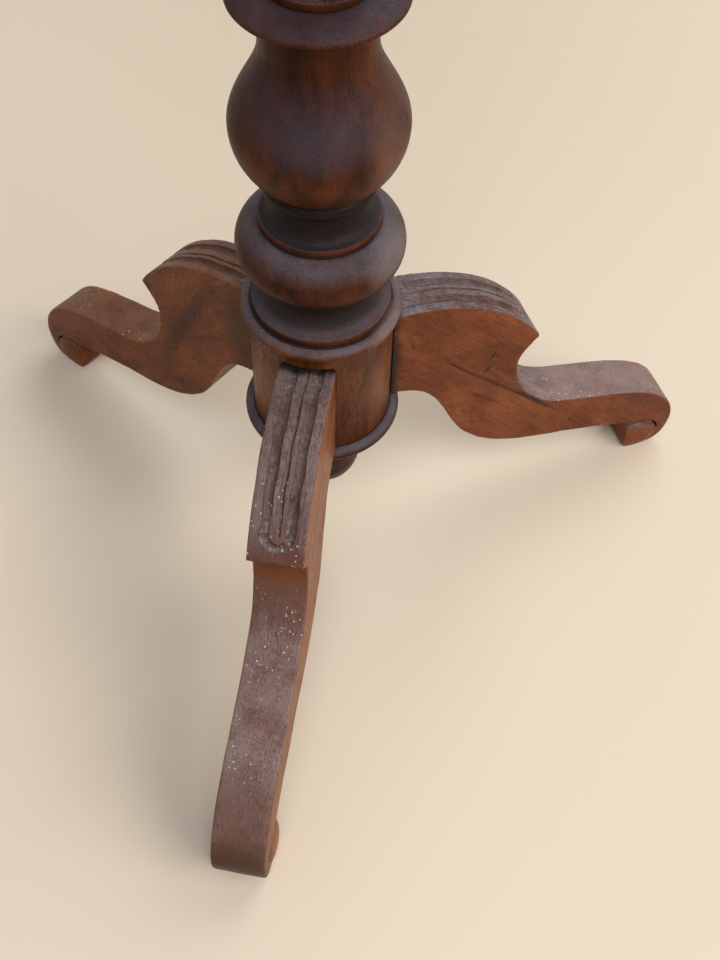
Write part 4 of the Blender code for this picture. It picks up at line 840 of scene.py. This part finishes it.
# ---------------------------------------------------------------------------------------------
# Top block. A turned flange with a hollowed edge that takes the column's tenon. Four countersunk
# screws through it hold the middle board of the top.
BLOCK_RADIUS = 0.0720
BLOCK_FOOT = 0.6982
BLOCK_TOP = 0.7202
BLOCK_NOSE, BLOCK_NOSE_HEIGHT = 0.0040, 0.0080
BLOCK_HOLLOW = 0.0200
BLOCK_SCREW_REACH, BLOCK_SCREW_BITE = 0.0410, 0.0103
TOP_TONES = ((0.062, 0.0195, 0.0085, 1.0), (0.135, 0.042, 0.0160, 1.0), (0.205, 0.070, 0.0265, 1.0))
block_edge = BLOCK_RADIUS - BLOCK_NOSE
hollow_end = (BLOCK_RADIUS - BLOCK_HOLLOW, BLOCK_FOOT)
block = on_the_lathe("top_block_turned", [(0.0, BLOCK_TOP)]
                     + half_round(block_edge, BLOCK_RADIUS, BLOCK_TOP, BLOCK_NOSE_HEIGHT)
                     + curve_between((block_edge, BLOCK_TOP - BLOCK_NOSE_HEIGHT), 180, hollow_end, -90)[1:]
                     + [hollow_end, (0.0, BLOCK_FOOT)])
block.data.materials.append(waxed_wood(
    "top_block_wood", UNTURNED, (0.0, 0.03, 0.66), 0.77, TOP_TONES, film_and_sheen=(0.3, 0.3)))
stand_for(block, "top_block")
set_screws(slotted_screw("block_screw", BLOCK_FOOT, BLOCK_TOP + BLOCK_SCREW_BITE),
           [(BLOCK_SCREW_REACH, 45 + 90 * i) for i in range(4)], "top_block_screw")


# ---------------------------------------------------------------------------------------------
# Top. Three boards glued edge to edge and turned to a disc, its edge worked with a rounded nose over
# a small step and a cove. The glue lines show as fine dark seams.
TOP_RADIUS = 0.2269
TOP_FOOT = 0.7205
TOP_HEIGHT = 0.7405
TOP_NOSE, TOP_NOSE_HEIGHT = 0.0060, 0.0120
TOP_STEP, TOP_COVE = 0.0030, 0.0110
TOP_RINGS, UNDERSIDE_RING = (0.080, 0.160), 0.120
SEAM = 0.0756
SEAM_GAP = 0.00015
BOARDS = {"top_board_left": (None, -SEAM), "top_board_centre": (-SEAM, SEAM), "top_board_right": (SEAM, None)}
nose_core = TOP_RADIUS - TOP_NOSE
cove_head = (nose_core - TOP_STEP, TOP_HEIGHT - TOP_NOSE_HEIGHT)
cove_end = (cove_head[0] - TOP_COVE, TOP_FOOT)
disc = on_the_lathe("top_disc", [(radius, TOP_HEIGHT) for radius in (0.0, *TOP_RINGS)]
                    + half_round(nose_core, TOP_RADIUS, TOP_HEIGHT, TOP_NOSE_HEIGHT)
                    + curve_between(cove_head, -90, cove_end, 180)
                    + [cove_end, (UNDERSIDE_RING, TOP_FOOT), (0.0, TOP_FOOT)], 0.0005)
for number, (node, (near, far)) in enumerate(BOARDS.items()):
    pick(disc)
    bpy.ops.object.duplicate(linked=False)
    board = bpy.context.object
    board.name = board.data.name = node + "_jointed"
    bpy.ops.object.mode_set(mode="EDIT")
    if near is not None:
        bpy.ops.mesh.select_all(action="SELECT")
        bpy.ops.mesh.bisect(plane_co=(near + SEAM_GAP, 0.0, 0.0), plane_no=(1.0, 0.0, 0.0),
                            use_fill=True, clear_inner=True)
    if far is not None:
        bpy.ops.mesh.select_all(action="SELECT")
        bpy.ops.mesh.bisect(plane_co=(far - SEAM_GAP, 0.0, 0.0), plane_no=(1.0, 0.0, 0.0),
                            use_fill=True, clear_outer=True)
    close_shape()
    pick(board)
    bpy.ops.object.shade_smooth_by_angle(angle=math.radians(45))
    board.data.materials.append(waxed_wood(
        node + "_wood", (0.0, 0.0, math.radians(90)), ((near or far) * 0.8 + 0.03, 0.0, 0.70),
        0.19 + 0.35 * number, TOP_TONES, film_and_sheen=(0.25, 0.25), thinnest=(0.5, 0.5), specks=(0.3, 0.0, 0.3),
        figure=0.5))
    stand_for(board, node)
bpy.data.objects.remove(disc, do_unlink=True)


# ---------------------------------------------------------------------------------------------
# Plain pale floor, soft studio light from the right, behind and the front, and the camera at the
# photograph's angle.
FLOOR_TONE = (0.755, 0.632, 0.480, 1.0)
ROOM_TONE, ROOM_STRENGTH = (0.95, 0.96, 1.0, 1.0), 0.30
BACKDROP_TONE = (0.90, 0.885, 0.86, 1.0)
bpy.ops.object.select_all(action="DESELECT")
bpy.ops.mesh.primitive_plane_add(size=8.0)
floor = bpy.context.object
floor.name = "floor"
floor_paint = bpy.data.materials.new("floor_paint")
floor_paint.use_nodes = True
floor_shader = floor_paint.node_tree.nodes["Principled BSDF"]
floor_shader.inputs["Base Color"].default_value = FLOOR_TONE
floor_shader.inputs["Roughness"].default_value = 0.9
floor_shader.inputs["Specular IOR Level"].default_value = 0.1
floor.data.materials.append(floor_paint)

world = bpy.data.worlds.new("studio")
bpy.context.scene.world = world
world.use_nodes = True
world_tree = world.node_tree
room_light = world_tree.nodes["Background"]
room_light.inputs["Color"].default_value = ROOM_TONE
room_light.inputs["Strength"].default_value = ROOM_STRENGTH
backdrop = add_node(world_tree, "ShaderNodeBackground", {"Color": BACKDROP_TONE, "Strength": 1.0})
path = add_node(world_tree, "ShaderNodeLightPath")
seen = joined(world_tree, path.outputs["Is Camera Ray"], path.outputs["Is Glossy Ray"], "MAXIMUM")
seen = joined(world_tree, seen, path.outputs["Is Transmission Ray"], "MAXIMUM")
either = add_node(world_tree, "ShaderNodeMixShader", {0: seen, 1: room_light.outputs[0], 2: backdrop.outputs[0]})
world_tree.links.new(either.outputs[0], world_tree.nodes["World Output"].inputs["Surface"])


def soft_light(name, place, target, size, power, colour):
    lamp = bpy.data.lights.new(name, "AREA")
    lamp.shape = "RECTANGLE"
    lamp.size, lamp.size_y = size
    lamp.energy = power
    lamp.color = colour
    holder = bpy.data.objects.new(name, lamp)
    bpy.context.scene.collection.objects.link(holder)
    holder.location = place
    holder.rotation_euler = (Vector(target) - Vector(place)).to_track_quat("-Z", "Y").to_euler()


soft_light("key_from_right", (4.53, -1.65, 3.39), (0.0, 0.0, 0.12), (4.8, 3.9), 240.0, (1.0, 0.955, 0.88))
soft_light("sheen_from_behind", (1.35, 3.45, 3.67), (0.0, 0.0, 0.12), (4.5, 2.9), 128.0, (0.90, 0.94, 1.0))
soft_light("sheen_from_front", (0.35, -1.70, 2.95), (0.0, 0.0, 0.15), (1.7, 1.2), 44.0, (0.80, 0.87, 1.0))

view = bpy.data.cameras.new("camera")
view.lens = 47.075
view.sensor_width = 36.0
camera = bpy.data.objects.new("camera", view)
bpy.context.scene.collection.objects.link(camera)
camera.location = (0.08304, -0.41821, 0.63714)
camera.rotation_euler = (math.radians(35.490), math.radians(-1.022), math.radians(9.763))
bpy.context.scene.camera = camera
bpy.context.scene.view_settings.view_transform = "Standard"
